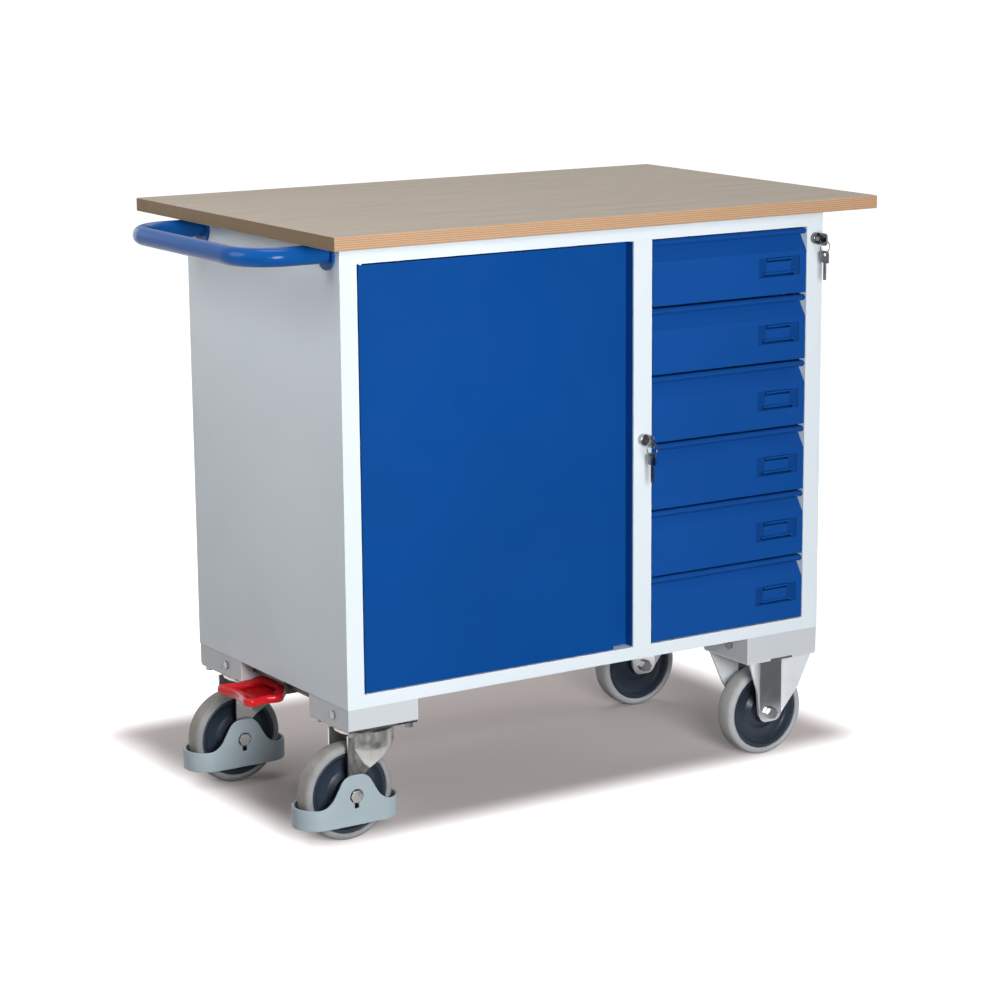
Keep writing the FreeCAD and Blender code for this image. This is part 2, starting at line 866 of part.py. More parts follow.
def makeLabelPan(body):
    # a shallow pressed pan with two raised tabs for a paper label, each pressed out of the slot below it
    right = f"({frontWidth} - label_inset)"
    left = f"({right} - label_width)"
    high = f"({frontFlat} - label_drop)"
    low = f"({high} - label_height)"
    wall = "drawer_plate"
    pad(body, "y", wall, f"{wall} + label_recess",
        rectangle(f"{left} - {wall}", f"{right} + {wall}", f"{low} - {wall}", f"{high} + {wall}"))
    cut(body, "y", "0", "label_recess", rectangle(left, right, low, high))
    middle = f"({right} - label_width / 2)"
    tabs = ((f"({low} + lower_tab_inset)", "lower_tab_length"),
            (f"({high} - upper_tab_inset - tab_height)", "upper_tab_length"))
    for level, length in tabs:
        ends = (f"{middle} - {length} / 2", f"{middle} + {length} / 2")
        pad(body, "y", "-tab_proud", "label_recess", rectangle(*ends, level, f"{level} + tab_height"))
        cut(body, "y", "label_recess", f"{wall} + label_recess",
            rectangle(*ends, f"{level} - tab_slot", level))


def makeDrawerBox(label, base):
    # a folded tray whose side flanges run in the cabinet's channels
    body = newBody(label, f"{postRight} + {boxInset}", bodyFront, base)
    rim = boxRim
    lip = f"({rim} - runner_lip)"
    points = [
        ("-runner_flange", lip),
        ("-runner_flange", rim),
        ("0", rim),
        ("0", "box_floor"),
        (boxWidth, "box_floor"),
        (boxWidth, rim),
        (f"{boxWidth} + runner_flange", rim),
        (f"{boxWidth} + runner_flange", lip),
    ]
    rear = "(front_return + box_length)"
    pad(body, "y", "front_return", rear, lambda outline: outline.foldedSheet(points, "drawer_plate"))
    pad(body, "y", "front_return", "front_return + drawer_plate", rectangle("0", boxWidth, "0", frontHeight))
    pad(body, "y", f"{rear} - drawer_plate", rear, rectangle("0", boxWidth, "box_floor", rim))
    side = f"({boxWidth} + runner_flange + drawer_plate)"
    pad(body, "z", lip, f"{lip} + bar_tab_height",
        rectangle(f"{side} - drawer_plate", f"{side} + catch_reach", f"{tabRear} + catch_gap",
                  f"{barRear} - catch_gap"))
    return body


# ---- castors ----

def makeBrackets(label, centre, length, base, pattern):
    # open-topped corner boxes under the floor, one in front and a deeper one behind
    body = newBody(label, centre)

    def corner(inset):
        half = f"({length} / 2 - {inset})"
        return rectangles(*[(f"-{half}", half, f"{front} + {inset}", f"{rear} - {inset}")
                            for front, rear in bracketEnds])
    pad(body, "z", base, bodyBottom, corner("bracket_inset"))
    cut(body, "z", f"{base} + bracket_plate", bodyBottom, corner("(bracket_inset + bracket_plate)"))
    holes = circles("bolt_radius + fit", *[(y, bracketLevel(base)) for y in bracketBoltPlaces])
    cut(body, "x", f"-{length} / 2", "0", holes)
    cut(body, "z", base, f"{base} + bracket_plate", boltHoles(pattern, castorFront, castorRear))
    return body


bracketEnds = [
    (f"{castorFront} - bracket_depth / 2", f"{castorFront} + bracket_depth / 2"),
    (f"{castorRear} - bracket_depth / 2 - rear_bracket_reach", f"{castorRear} + bracket_depth / 2"),
]
bracketBoltPlaces = [f"({castorFront} - front_bolt_offset)", f"({castorRear} - rear_bolt_offset)"]


def bracketLevel(base):
    return f"(({base} + {bodyBottom}) / 2)"


swivelPattern = ("swivel_bolt_across", "swivel_bolt_along")
fixedPattern = ("fixed_bolt_across", "fixed_bolt_along")


def boltPlaces(pattern, *centres):
    # four bolts round each castor's centre line
    across, along = pattern
    return [(f"{x} * {across}", f"{centre} + {y} * {along}")
            for centre in centres for x in (-1, 1) for y in (-1, 1)]


def boltHoles(pattern, *centres):
    return circles("bolt_radius + fit", *boltPlaces(pattern, *centres))


def makeSwivelPlates():
    # top plate, ball race and kingpin of both swivel castors
    body = newBody("swivel_castor_plates", swivelCentre)
    top = "swivel_height"
    half = "(swivel_bracket_length / 2 - castor_plate_inset)"
    deep = "(bracket_depth / 2 - castor_plate_inset)"
    race = "(swivel_height - castor_plate - race_height)"
    fork = f"({race} - swivel_gap - fork_plate)"
    places = [("0", place) for place in (castorFront, castorRear)]
    pad(body, "z", f"{top} - castor_plate", top,
        rectangles(*[(f"-{half}", half, f"{y} - {deep}", f"{y} + {deep}") for x, y in places]))
    pad(body, "z", race, f"{top} - castor_plate", circles("race_radius", *places))
    pad(body, "z", f"{fork} - swivel_gap", race, circles("kingpin_radius", *places))
    pad(body, "z", f"{fork} - swivel_gap - kingpin_head_height", f"{fork} - swivel_gap",
        circles("kingpin_head", *places))
    cut(body, "z", f"{top} - castor_plate", top, boltHoles(swivelPattern, castorFront, castorRear))
    return body


def makeSwivelFork(label, place):
    # round head that narrows into two flat legs, with the wheel trailing towards -X
    body = newBody(label, swivelCentre, place)
    top = "(swivel_height - castor_plate - race_height - swivel_gap)"
    under = f"({top} - fork_plate)"
    foot = "(wheel_radius - fork_foot)"
    waist = "(wheel_radius + dome_foot)"
    dome = [
        ("0", top),
        ("dome_radius", top),
        ("dome_radius", f"{top} - dome_wall"),
        ("fork_outer", waist),
        ("fork_outer - fork_plate", waist),
        ("dome_radius - fork_plate", f"{top} - dome_wall"),
        ("dome_radius - fork_plate", under),
        ("0", under),
    ]
    revolve(body, "XZ_Plane", "V_Axis", lambda outline: outline.polygon(dome))
    inner = "(fork_outer - fork_plate)"
    tyre = "(tyre_width / 2 + tyre_clearance)"
    for low, high in ((f"-{inner}", "-fork_outer"), (inner, "fork_outer")):
        pad(body, "z", foot, under, rectangle("-trail - fork_foot", "0", low, high))
    cut(body, "z", foot, under, lambda outline: outline.polygon([
        ("-dome_radius - cut_past", f"-{inner}"),
        ("0", f"-{inner}"),
        ("0", f"-{tyre}"),
        ("dome_radius + cut_past", f"-{tyre}"),
        ("dome_radius + cut_past", tyre),
        ("0", tyre),
        ("0", inner),
        ("-dome_radius - cut_past", inner),
    ]))
    side = "(dome_radius + cut_past)"
    above = f"({top} + cut_past)"

    def outside(outline):
        outline.rectangle(f"-2 * {side}", f"2 * {side}", f"{foot} - cut_past", f"{above} + cut_past")
        outline.rounded([
            ("-fork_rear", above, None),
            ("-fork_rear", "wheel_radius", None),
            ("-trail - fork_foot", foot, "fork_foot - fork_foot_flat"),
            ("fork_foot - trail", foot, "fork_foot - fork_foot_flat"),
            ("fork_foot - trail", "wheel_radius + fork_heel", "fork_foot"),
            (side, f"{top} - dome_rim", None),
            (side, above, None),
        ])
    cut(body, "y", f"-{side}", side, outside)
    cut(body, "y", f"-{side}", side, circles("axle_radius + fit", ("-trail", "wheel_radius")))
    cut(body, "z", under, top, circles("kingpin_radius + fit", ("0", "0")))
    return body


def makeFixedFork(label, place):
    # top plate with two pressed legs, a flat channel between flared wings on each
    body = newBody(label, fixedCentre, place)
    top = "fixed_height"
    under = "(fixed_height - castor_plate)"
    foot = "(wheel_radius - leg_foot)"
    reach = "(fork_outer + leg_flare + fork_plate)"
    half = "(fixed_bracket_length / 2 - castor_plate_inset)"
    deep = "(bracket_depth / 2 - castor_plate_inset)"

    def legs(outline):
        for side in (-1, 1):
            wing = f"{side} * (fork_outer + leg_flare)"
            crease = f"{side} * (fork_outer + leg_crease_flare)"
            face = f"{side} * fork_outer"
            points = [
                ("-leg_half_top", wing),
                ("-leg_crease", crease),
                ("-leg_channel", face),
                ("leg_channel", face),
                ("leg_crease", crease),
                ("leg_half_top", wing),
            ]
            outline.foldedSheet(points, "fork_plate", -side)
    pad(body, "z", foot, under, legs)
    above = f"({under} + cut_past)"

    def outside(outline):
        outline.rectangle(f"-{half}", half, f"{foot} - cut_past", f"{above} + cut_past")
        outline.rounded([
            ("-leg_half_top - cut_past", above, None),
            ("-leg_half_foot", foot, "leg_foot"),
            ("leg_half_foot", foot, "leg_foot"),
            ("leg_half_top + cut_past", above, None),
        ])
    cut(body, "y", f"-{reach}", reach, outside)
    pad(body, "z", under, top, rectangle(f"-{half}", half, f"-{deep}", deep))
    cut(body, "y", f"-{reach}", reach, circles("axle_radius + fit", ("0", "wheel_radius")))
    cut(body, "z", under, top, boltHoles(fixedPattern, "0"))
    return body


def makeAxle(label, x, *places):
    # hexagon bolt through the fork with its nut on the far side
    body = newBody(label, x)
    for place in places:
        bolt = f"({place})"
        pad(body, "y", f"{bolt} - fork_outer", f"{bolt} + fork_outer",
            circles("axle_radius", ("0", "wheel_radius")))
        for start in (f"{bolt} - fork_outer - axle_head_height", f"{bolt} + fork_outer"):
            pad(body, "y", start, f"{start} + axle_head_height", hexagon("0", "wheel_radius", "axle_head"))
    return body


def hexagon(x, y, flat):
    # six sides, given by half the width across flats
    corners = [(f"{x} + {flat} / cos(30) * cos({60 * step})", f"{y} + {flat} / cos(30) * sin({60 * step})")
               for step in range(6)]
    return lambda outline: outline.polygon(corners)


def makeRim(label, x, place):
    body = newBody(label, x, place, "wheel_radius")
    hub, rim, web = "(hub_width / 2)", "(rim_width / 2)", "(rim_web / 2)"
    ring = f"({rimRadius} - rim_ring)"
    step = f"((hub_radius + {ring}) / 2)"

    def draw(outline):
        right = [
            (hub, "axle_radius + fit"),
            (hub, "hub_radius - rim_chamfer"),
            (f"{hub} - rim_chamfer", "hub_radius"),
            (f"{web} + web_rib", "hub_radius + rim_chamfer"),
            (f"{web} + web_rib", step),
            (web, f"{step} + web_slope"),
            (web, ring),
            (rim, f"{ring} + rim_chamfer"),
            (rim, rimRadius),
        ]
        outline.polygon(right + [(f"-({y})", z) for y, z in reversed(right)])
    turn(body, draw)
    return body


def makeTyre(label, x, place):
    body = newBody(label, x, place, "wheel_radius")
    half = "(tyre_width / 2)"

    def draw(outline):
        right = [
            (f"{half} - tyre_bead", rimRadius),
            (half, f"{rimRadius} + tyre_bead"),
            (half, "wheel_radius - tyre_shoulder"),
            (f"{half} - tyre_shoulder", "wheel_radius - tyre_crown"),
            (f"{half} - 2 * tyre_shoulder", "wheel_radius"),
        ]
        outline.polygon(right + [(f"-({y})", z) for y, z in reversed(right)])
    turn(body, draw)
    return body


def makeGuard(label, place):
    # band round the wheel with a bell-shaped cheek on each side, hung on the axle by a keyhole
    body = newBody(label, f"{swivelCentre} - trail", place)
    high = "(guard_base + guard_band)"

    def track(inset):
        long = f"(guard_length / 2 - {inset})"
        wide = f"(guard_outer - {inset})"
        corner = f"({wide} - guard_end_flat)"
        return [(f"-{long}", f"-{wide}", corner), (long, f"-{wide}", corner),
                (long, wide, corner), (f"-{long}", wide, corner)]
    peak = f"({high} + guard_bell_height)"
    end = "(guard_length / 2 + cut_past)"
    pad(body, "z", "guard_base", peak, lambda outline: outline.rounded(track("0")))
    cut(body, "z", "guard_base", peak, lambda outline: outline.rounded(track("guard_wall")))
    skyline = [
        (f"-{end}", f"{peak} + cut_past", None),
        (f"-{end}", high, None),
        ("-guard_bell_foot", high, "guard_bell_curve"),
        ("-guard_bell_head", peak, "guard_bell_crown"),
        ("guard_bell_head", peak, "guard_bell_crown"),
        ("guard_bell_foot", high, "guard_bell_curve"),
        (end, high, None),
        (end, f"{peak} + cut_past", None),
    ]
    cut(body, "y", "-guard_outer", "guard_outer", lambda outline: outline.rounded(skyline))
    cheek = "(guard_outer - guard_wall)"
    for start, end in ((f"-{cheek}", "-fork_outer"), ("fork_outer", cheek)):
        pad(body, "y", start, end, circles("guard_boss_radius", ("0", "wheel_radius")))
    reach = "(guard_outer + cut_past)"
    cut(body, "y", f"-{reach}", reach, circles("guard_key_radius", ("0", "wheel_radius")))
    cut(body, "y", f"-{reach}", reach, rectangle("-guard_slot / 2", "guard_slot / 2",
                                                 "wheel_radius - guard_slot_drop", "wheel_radius"))
    return body


# ---- bolts of the castor plates, of the brackets and of the handle ----

def makeBolts():
    # hexagon bolts: four under each castor plate and one inside the cabinet at each handle flange,
    # and one with a flatter head in the left wall of each bracket
    parts = []

    def bolt(places, turned=None, height="bolt_head_height"):
        name = f"bolt_{len(parts) + 1}"
        head = doc.addObject("Part::Prism", name + "_head")
        head.Polygon = 6
        bind(head, "Circumradius", "bolt_head / cos(30)")
        bind(head, "Height", height)
        shank = doc.addObject("Part::Cylinder", name + "_shank")
        bind(shank, "Radius", "bolt_radius")
        bind(shank, "Height", f"bolt_length + {height}")
        whole = doc.addObject("Part::Fuse", name)
        whole.Base, whole.Tool = head, shank
        if turned:
            whole.Placement.Rotation = turned
        for axis, place in zip("xyz", places):
            bind(whole, f"Placement.Base.{axis}", place)
        parts.append(whole)

    castors = ((swivelCentre, swivelPattern, "swivel_height"), (fixedCentre, fixedPattern, "fixed_height"))
    for centre, pattern, level in castors:
        for x, y in boltPlaces(pattern, castorFront, castorRear):
            bolt((f"{centre} + {x}", y, f"{level} - castor_plate - bolt_head_height"))
    towardsLeft = FreeCAD.Rotation(FreeCAD.Vector(0, 1, 0), -90)
    towardsRight = FreeCAD.Rotation(FreeCAD.Vector(0, 1, 0), 90)
    for place in (handleFront, handleRear):
        bolt((f"{webLeft} + bolt_head_height", place, handleLevel), towardsLeft)
    walls = ((bodyLeft, "swivel_height"), (f"{bodyRight} - fixed_bracket_length", "fixed_height"))
    for wall, level in walls:
        for place in bracketBoltPlaces:
            head = f"{wall} + bracket_inset - bracket_head_height"
            bolt((head, place, bracketLevel(level)), towardsRight, "bracket_head_height")
    group = doc.addObject("Part::Compound", "frame_bolts")
    group.Label = "frame_bolts"
    group.Links = parts
    return group


# ---- foot brake ----

def makeBrakeHousing():
    # U-shaped bearing bracket under the floor
    body = newBody("brake_housing", brakeLine, brakeCentre)
    top = f"({sillTop} - plate)"
    low = "(brake_level - brake_hub_radius)"
    half = "(housing_length / 2)"
    gap = "(housing_gap / 2)"
    pad(body, "z", f"{top} - housing_plate", top,
        rectangle(f"-{half}", half, f"-{gap} - housing_plate", f"{gap} + housing_plate"))
    cheek = [
        ("-brake_hub_radius", low),
        ("brake_hub_radius", low),
        (half, f"{top} - housing_plate"),
        (f"-{half}", f"{top} - housing_plate"),
    ]
    for start in (f"-{gap} - housing_plate", gap):
        pad(body, "y", start, f"{start} + housing_plate", lambda outline: outline.polygon(cheek))
    reach = f"({gap} + housing_plate)"
    cut(body, "y", f"-{reach}", reach, circles("brake_shaft_radius + fit", ("0", "brake_level")))
    return body


def makeBrakeShaft():
    body = newBody("brake_shaft", brakeLine)
    front = f"({castorFront} + bracket_depth / 2 - shaft_overlap)"
    rear = f"({castorRear} - bracket_depth / 2 - rear_bracket_reach + shaft_overlap)"
    pad(body, "y", front, rear, circles("brake_shaft_radius", ("0", "brake_level")))
    return body


def makeBrakePedal():
    # hub on the shaft and a dished foot plate with a turned-up rim and a scalloped outline
    body = newBody("brake_pedal", brakeLine, brakeCentre)
    arm = "(pedal_arm_width / 2)"
    low = "(brake_level - pedal_drop)"
    high = f"({low} + pedal_thickness)"
    top = f"({low} + pedal_rim)"

    def lobes(inset, root):
        half = f"(pedal_width / 2 - {inset})"
        tip = f"({inset} - pedal_reach)"
        waist = "(-(pedal_reach + pedal_root) / 2)"
        corner = f"(pedal_corner - {inset})"
        notch = "(2 * pedal_corner)"
        return lambda outline: outline.rounded([
            (root, f"-{half}", None),
            (root, half, None),
            (waist, f"{half} - pedal_scallop", notch),
            (tip, half, corner),
            (f"{tip} + pedal_scallop", "0", notch),
            (tip, f"-{half}", corner),
            (waist, f"pedal_scallop - {half}", notch),
        ])
    pad(body, "z", low, top, lobes("0", "-pedal_root"))
    cut(body, "z", high, top, lobes("pedal_lip", "0"))
    pad(body, "y", f"-{arm}", arm, circles("brake_hub_radius", ("0", "brake_level")))
    pad(body, "y", f"-{arm}", arm, lambda outline: outline.polygon([
        ("0", "brake_level - brake_hub_radius"),
        ("0", "brake_level"),
        ("-brake_hub_radius", "brake_level"),
        ("-2 * brake_hub_radius", high),
        ("-2 * brake_hub_radius", low),
        ("-pedal_root", low),
    ]))
    cut(body, "y", f"-{arm}", arm, circles("brake_shaft_radius", ("0", "brake_level")))
    return body


# ---- the whole bench ----

def cutLockHole(body, x, z):
    cut(body, "y", bodyFront, f"{bodyFront} + plate", circles("barrel_radius + fit", (x, z)))


subParts = [makeWorktop()]
leftPanel = makeSidePanel("side_panel_left", bodyLeft, 1, "stile_left")
cut(leftPanel, "x", bodyLeft, webLeft,
    circles("bolt_radius + fit", (handleFront, handleLevel), (handleRear, handleLevel)))
rightPanel = makeSidePanel("side_panel_right", bodyRight, -1, "stile_right")
cutLockHole(rightPanel, drawerLockX, drawerLockZ)
subParts += [leftPanel, rightPanel, makeBackPanel(), makeFloorPanel(), makeTopRail(), makePartition()]
subParts += [makeShelf(), makeRunners(), makeUprights(), makeHandle(), makeDoor(), makeHingePins()]

for kind, x, z, camLength in (("door", doorLockX, doorLockZ, "cam_length"),
                              ("drawer", drawerLockX, drawerLockZ, "cam_length / 2")):
    subParts += [
        makeBarrel(f"{kind}_lock_barrel", x, z),
        makePlug(f"{kind}_lock_plug", x, z, camLength),
        makeKey(f"{kind}_key", x, z),
        makeRing(f"{kind}_key_ring", x, z),
        makeSpareKey(f"{kind}_spare_key", x, z),
    ]
subParts.append(makeLockBar())

for index in range(sizes["drawer_count"]):
    # numbered from the top, as the drawers are counted
    base = drawerBase(sizes["drawer_count"] - 1 - index)
    name = f"drawer_{index + 1}"
    subParts += [makeDrawerFront(f"{name}_front", base), makeDrawerBox(f"{name}_box", base)]

swivelBrackets = makeBrackets("swivel_castor_brackets", swivelCentre, "swivel_bracket_length",
                              "swivel_height", swivelPattern)
shaftWall = "(bracket_depth / 2 - bracket_inset - bracket_plate)"
cut(swivelBrackets, "y", f"{castorFront} + {shaftWall}", f"{castorRear} - {shaftWall}",
    circles("brake_shaft_radius + fit", (f"{brakeLine} - {swivelCentre}", "brake_level")))
subParts += [
    swivelBrackets,
    makeBrackets("fixed_castor_brackets", fixedCentre, "fixed_bracket_length",
                 "fixed_height", fixedPattern),
    makeSwivelPlates(),
    makeAxle("fixed_axle_bolts", fixedCentre, castorFront, castorRear),
    makeBolts(),
]
for end, place in (("front", castorFront), ("rear", castorRear)):
    wheelX = f"({swivelCentre} - trail)"
    subParts += [
        makeSwivelFork(f"swivel_fork_{end}", place),
        makeAxle(f"swivel_axle_bolt_{end}", wheelX, place),
        makeRim(f"swivel_rim_{end}", wheelX, place),
        makeTyre(f"swivel_tyre_{end}", wheelX, place),
        makeGuard(f"foot_guard_{end}", place),
        makeFixedFork(f"fixed_fork_{end}", place),
        makeRim(f"fixed_rim_{end}", fixedCentre, place),
        makeTyre(f"fixed_tyre_{end}", fixedCentre, place),
    ]
subParts += [makeBrakeHousing(), makeBrakeShaft(), makeBrakePedal()]

doc.recompute()
for item in doc.Objects:
    if {"Invalid", "Error"} & set(item.State):
        raise ValueError(f"{item.Label} has failed: {item.State}")
os.makedirs("parts", exist_ok=True)
for part in subParts:
    if part.Shape.isNull() or not part.Shape.isValid():
        raise ValueError(f"{part.Label} has no valid shape")
    part.Shape.exportStep(f"parts/{part.Label}.step")
print(len(subParts), "sub-parts written")
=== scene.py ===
import json
import math

import bpy
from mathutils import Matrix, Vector


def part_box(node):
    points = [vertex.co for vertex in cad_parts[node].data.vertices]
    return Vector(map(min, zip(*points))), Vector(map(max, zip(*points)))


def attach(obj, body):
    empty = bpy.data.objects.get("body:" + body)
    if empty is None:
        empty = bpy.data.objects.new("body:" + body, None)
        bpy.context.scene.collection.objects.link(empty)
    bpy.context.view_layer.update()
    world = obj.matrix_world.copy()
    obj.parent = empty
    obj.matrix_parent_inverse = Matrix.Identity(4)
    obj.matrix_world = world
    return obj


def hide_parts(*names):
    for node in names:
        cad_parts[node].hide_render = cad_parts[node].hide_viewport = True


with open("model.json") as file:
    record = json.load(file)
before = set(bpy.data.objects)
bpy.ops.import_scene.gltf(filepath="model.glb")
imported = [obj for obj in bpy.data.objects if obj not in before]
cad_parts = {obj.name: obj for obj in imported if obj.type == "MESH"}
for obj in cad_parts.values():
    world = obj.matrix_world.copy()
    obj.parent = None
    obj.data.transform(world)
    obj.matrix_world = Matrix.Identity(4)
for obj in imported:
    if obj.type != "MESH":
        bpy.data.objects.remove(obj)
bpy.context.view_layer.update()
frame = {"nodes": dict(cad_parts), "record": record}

nodes = frame["nodes"]
print("frame loaded:", len(nodes), "nodes")


class Value:
    # a node's output socket, whose operators add Math nodes
    def __init__(self, finish, socket):
        self.finish = finish
        self.socket = socket

    def maths(self, operation, first, second=None):
        inputs = {0: first} if second is None else {0: first, 1: second}
        return self.finish.add("ShaderNodeMath", {"operation": operation}, inputs)

    def __add__(self, other):
        return self.maths("ADD", self, other)

    def __sub__(self, other):
        return self.maths("SUBTRACT", self, other)

    def __mul__(self, other):
        return self.maths("MULTIPLY", self, other)

    def __truediv__(self, other):
        return self.maths("DIVIDE", self, other)

    def __radd__(self, other):
        return self.maths("ADD", other, self)

    def __rsub__(self, other):
        return self.maths("SUBTRACT", other, self)

    def __rmul__(self, other):
        return self.maths("MULTIPLY", other, self)

    def __lt__(self, other):
        return self.maths("LESS_THAN", self, other)

    def __gt__(self, other):
        return self.maths("GREATER_THAN", self, other)

    def __abs__(self):
        return self.maths("ABSOLUTE", self)

    def atLeast(self, other):
        return self.maths("MAXIMUM", self, other)

    def fract(self):
        return self.maths("FRACT", self)

    def root(self):
        return self.maths("SQRT", self)


lacquerRoughness = 0.08


class Finish:
    # one material and its shader
    def __init__(self, name, colour, roughness, metallic=0.0, coat=0.0, specular=0.5):
        self.material = bpy.data.materials.new(name)
        self.material.use_nodes = True
        self.tree = self.material.node_tree
        self.shader = self.tree.nodes["Principled BSDF"]
        self.set("Base Color", (*colour, 1))
        self.set("Roughness", roughness)
        self.set("Metallic", metallic)
        self.set("Coat Weight", coat)
        self.set("Coat Roughness", lacquerRoughness)
        self.set("Specular IOR Level", specular)

    def set(self, socket, value):
        if isinstance(value, Value):
            self.tree.links.new(value.socket, self.shader.inputs[socket])
        else:
            self.shader.inputs[socket].default_value = value

    def add(self, kind, settings=None, inputs=None, output=0):
        node = self.tree.nodes.new(kind)
        for name, value in (settings or {}).items():
            if name == "stops":
                ramp = node.color_ramp
                ramp.elements[0].position, ramp.elements[1].position = value[0][0], value[-1][0]
                for place, _ in value[1:-1]:
                    ramp.elements.new(place)
                for element, (_, colour) in zip(ramp.elements, value):
                    element.color = (*colour, 1)
            else:
                setattr(node, name, value)
        for socket, value in (inputs or {}).items():
            if isinstance(value, Value):
                self.tree.links.new(value.socket, node.inputs[socket])
            else:
                node.inputs[socket].default_value = value
        return Value(self, node.outputs[output])

    def place(self, scale=(1, 1, 1), move=(0, 0, 0)):
        here = self.add("ShaderNodeTexCoord", output="Object")
        if (scale, move) == ((1, 1, 1), (0, 0, 0)):
            return here
        inputs = {"Vector": here, "Scale": scale, "Location": move}
        return self.add("ShaderNodeMapping", {}, inputs)

    def axes(self, place):
        return [self.add("ShaderNodeSeparateXYZ", {}, {0: place}, output=i) for i in range(3)]

    def noise(self, scale, detail=2.0, roughness=0.5, stretch=(1, 1, 1), move=(0, 0, 0)):
        inputs = {"Scale": scale, "Detail": detail, "Roughness": roughness}
        return self.add("ShaderNodeTexNoise", {}, {"Vector": self.place(stretch, move), **inputs})

    def ramp(self, value, stops):
        return self.add("ShaderNodeValToRGB", {"stops": stops}, {0: value})

    def limit(self, value, low, high, newLow=0.0, newHigh=1.0):
        settings = {"clamp": True, "interpolation_type": "SMOOTHSTEP"}
        inputs = {"Value": value, "From Min": low, "From Max": high, "To Min": newLow, "To Max": newHigh}
        return self.add("ShaderNodeMapRange", settings, inputs)

    def mix(self, mask, first, second):
        inputs = {0: mask}
        for socket, colour in ((6, first), (7, second)):
            inputs[socket] = colour if isinstance(colour, Value) else (*colour, 1)
        return self.add("ShaderNodeMix", {"data_type": "RGBA"}, inputs, output=2)

    def bump(self, height, distance):
        inputs = {"Height": height, "Distance": distance, "Strength": 1.0}
        self.set("Normal", self.add("ShaderNodeBump", {}, inputs))

    def drifting(self, mask, colour, drift):
        # a colour a little darker where the mask is 0 and a little lighter where it is 1
        return self.mix(mask, scaled(colour, 1 - drift), scaled(colour, 1 + drift))


def scaled(colour, factor):
    return tuple(min(1.0, part * factor) for part in colour)


# between these a noise does most of its rising and falling
narrow = (0.3, 0.7)
wide = (0.25, 0.75)


# a label holder's pan, whose floor round the label gets painted shade, as though shaded in its recess
pan = {
    "floor": (0.0035, 0.0045),
    "below": 0.068,
    "fromRight": 0.057,
    "above": 0.0475,
    "half": (0.0245, 0.0085),
    "blur": 0.002,
    "tone": 0.74,
}
frontLow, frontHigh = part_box("drawer_1_front")
drawerPitch = frontLow.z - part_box("drawer_2_front")[0].z


def panShadeMask(finish):
    # 1 on the floor of a label holder's pan, around the label, where the paint is darkened as painted
    # shade
    x, y, z = finish.axes(finish.place())
    height = ((z - frontLow.z) / drawerPitch).fract() * drawerPitch
    fromMiddle = (abs(x - (frontHigh.x - pan["fromRight"])), abs(height - pan["above"]))
    within = [finish.limit(reach, half, half + pan["blur"], 1.0, 0.0)
              for reach, half in zip(fromMiddle, pan["half"])]
    deep = finish.limit(y, *[frontLow.y + depth for depth in pan["floor"]])
    return deep * (height < pan["below"]) * (1.0 - within[0] * within[1])


coating = {
    # noises: scale, detail, roughness
    "drift": (2.6, 3.0),
    "patch": (9.0, 4.0, 0.6),
    "grain": (420.0, 2.0, 0.55),
    "waves": (110.0, 1.0),
    "patchSpan": (0.3, 0.75),
    "smoother": 0.05,
    "rougher": 0.07,
    "grainShare": 0.4,
    "waveShare": 0.6,
}


def powderCoat(name, colour, roughness, specular, drift, coat=0.0, peel=0.00003, pressed=False):
    # sprayed and baked: orange peel, and a slight drift of tone over a panel; where asked, painted shade
    # on the floor of a label holder's pan
    finish = Finish(name, colour, roughness, coat=coat, specular=specular)
    tone = finish.limit(finish.noise(*coating["drift"]), *narrow)
    paint = finish.drifting(tone, colour, drift)
    # painted shade: the pan's floor round the label is darkened as though shaded in the recess
    if pressed:
        paint = finish.mix(panShadeMask(finish), paint, scaled(colour, pan["tone"]))
    finish.set("Base Color", paint)
    patch = finish.noise(*coating["patch"])
    rough = (roughness - coating["smoother"], roughness + coating["rougher"])
    finish.set("Roughness", finish.limit(patch, *coating["patchSpan"], *rough))
    grain = finish.noise(*coating["grain"])
    waves = finish.noise(*coating["waves"])
    finish.bump(grain * coating["grainShare"] + waves * coating["waveShare"], peel)
    return finish.material


paints = {
    # colour, roughness, specular, drift of tone, and what only this paint has
    "cabinetGrey": ((0.72, 0.79, 0.84), 0.42, 0.35, 0.02, {}),
    "bracketGrey": ((0.57, 0.6, 0.63), 0.4, 0.35, 0.03, {}),
    "doorBlue": ((0.003, 0.061, 0.268), 0.42, 0.07, 0.05, {}),
    "drawerBlue": ((0.006, 0.069, 0.3), 0.42, 0.08, 0.05, {"pressed": True}),
    "handleBlue": ((0.004, 0.075, 0.29), 0.34, 0.05, 0.05, {"coat": 0.2, "peel": 0.00001}),
    "pedalRed": ((0.66, 0.014, 0.022), 0.24, 0.15, 0.08, {"coat": 0.14, "peel": 0.00001}),
}
coated = {name: powderCoat(name, *look, **extra) for name, (*look, extra) in paints.items()}

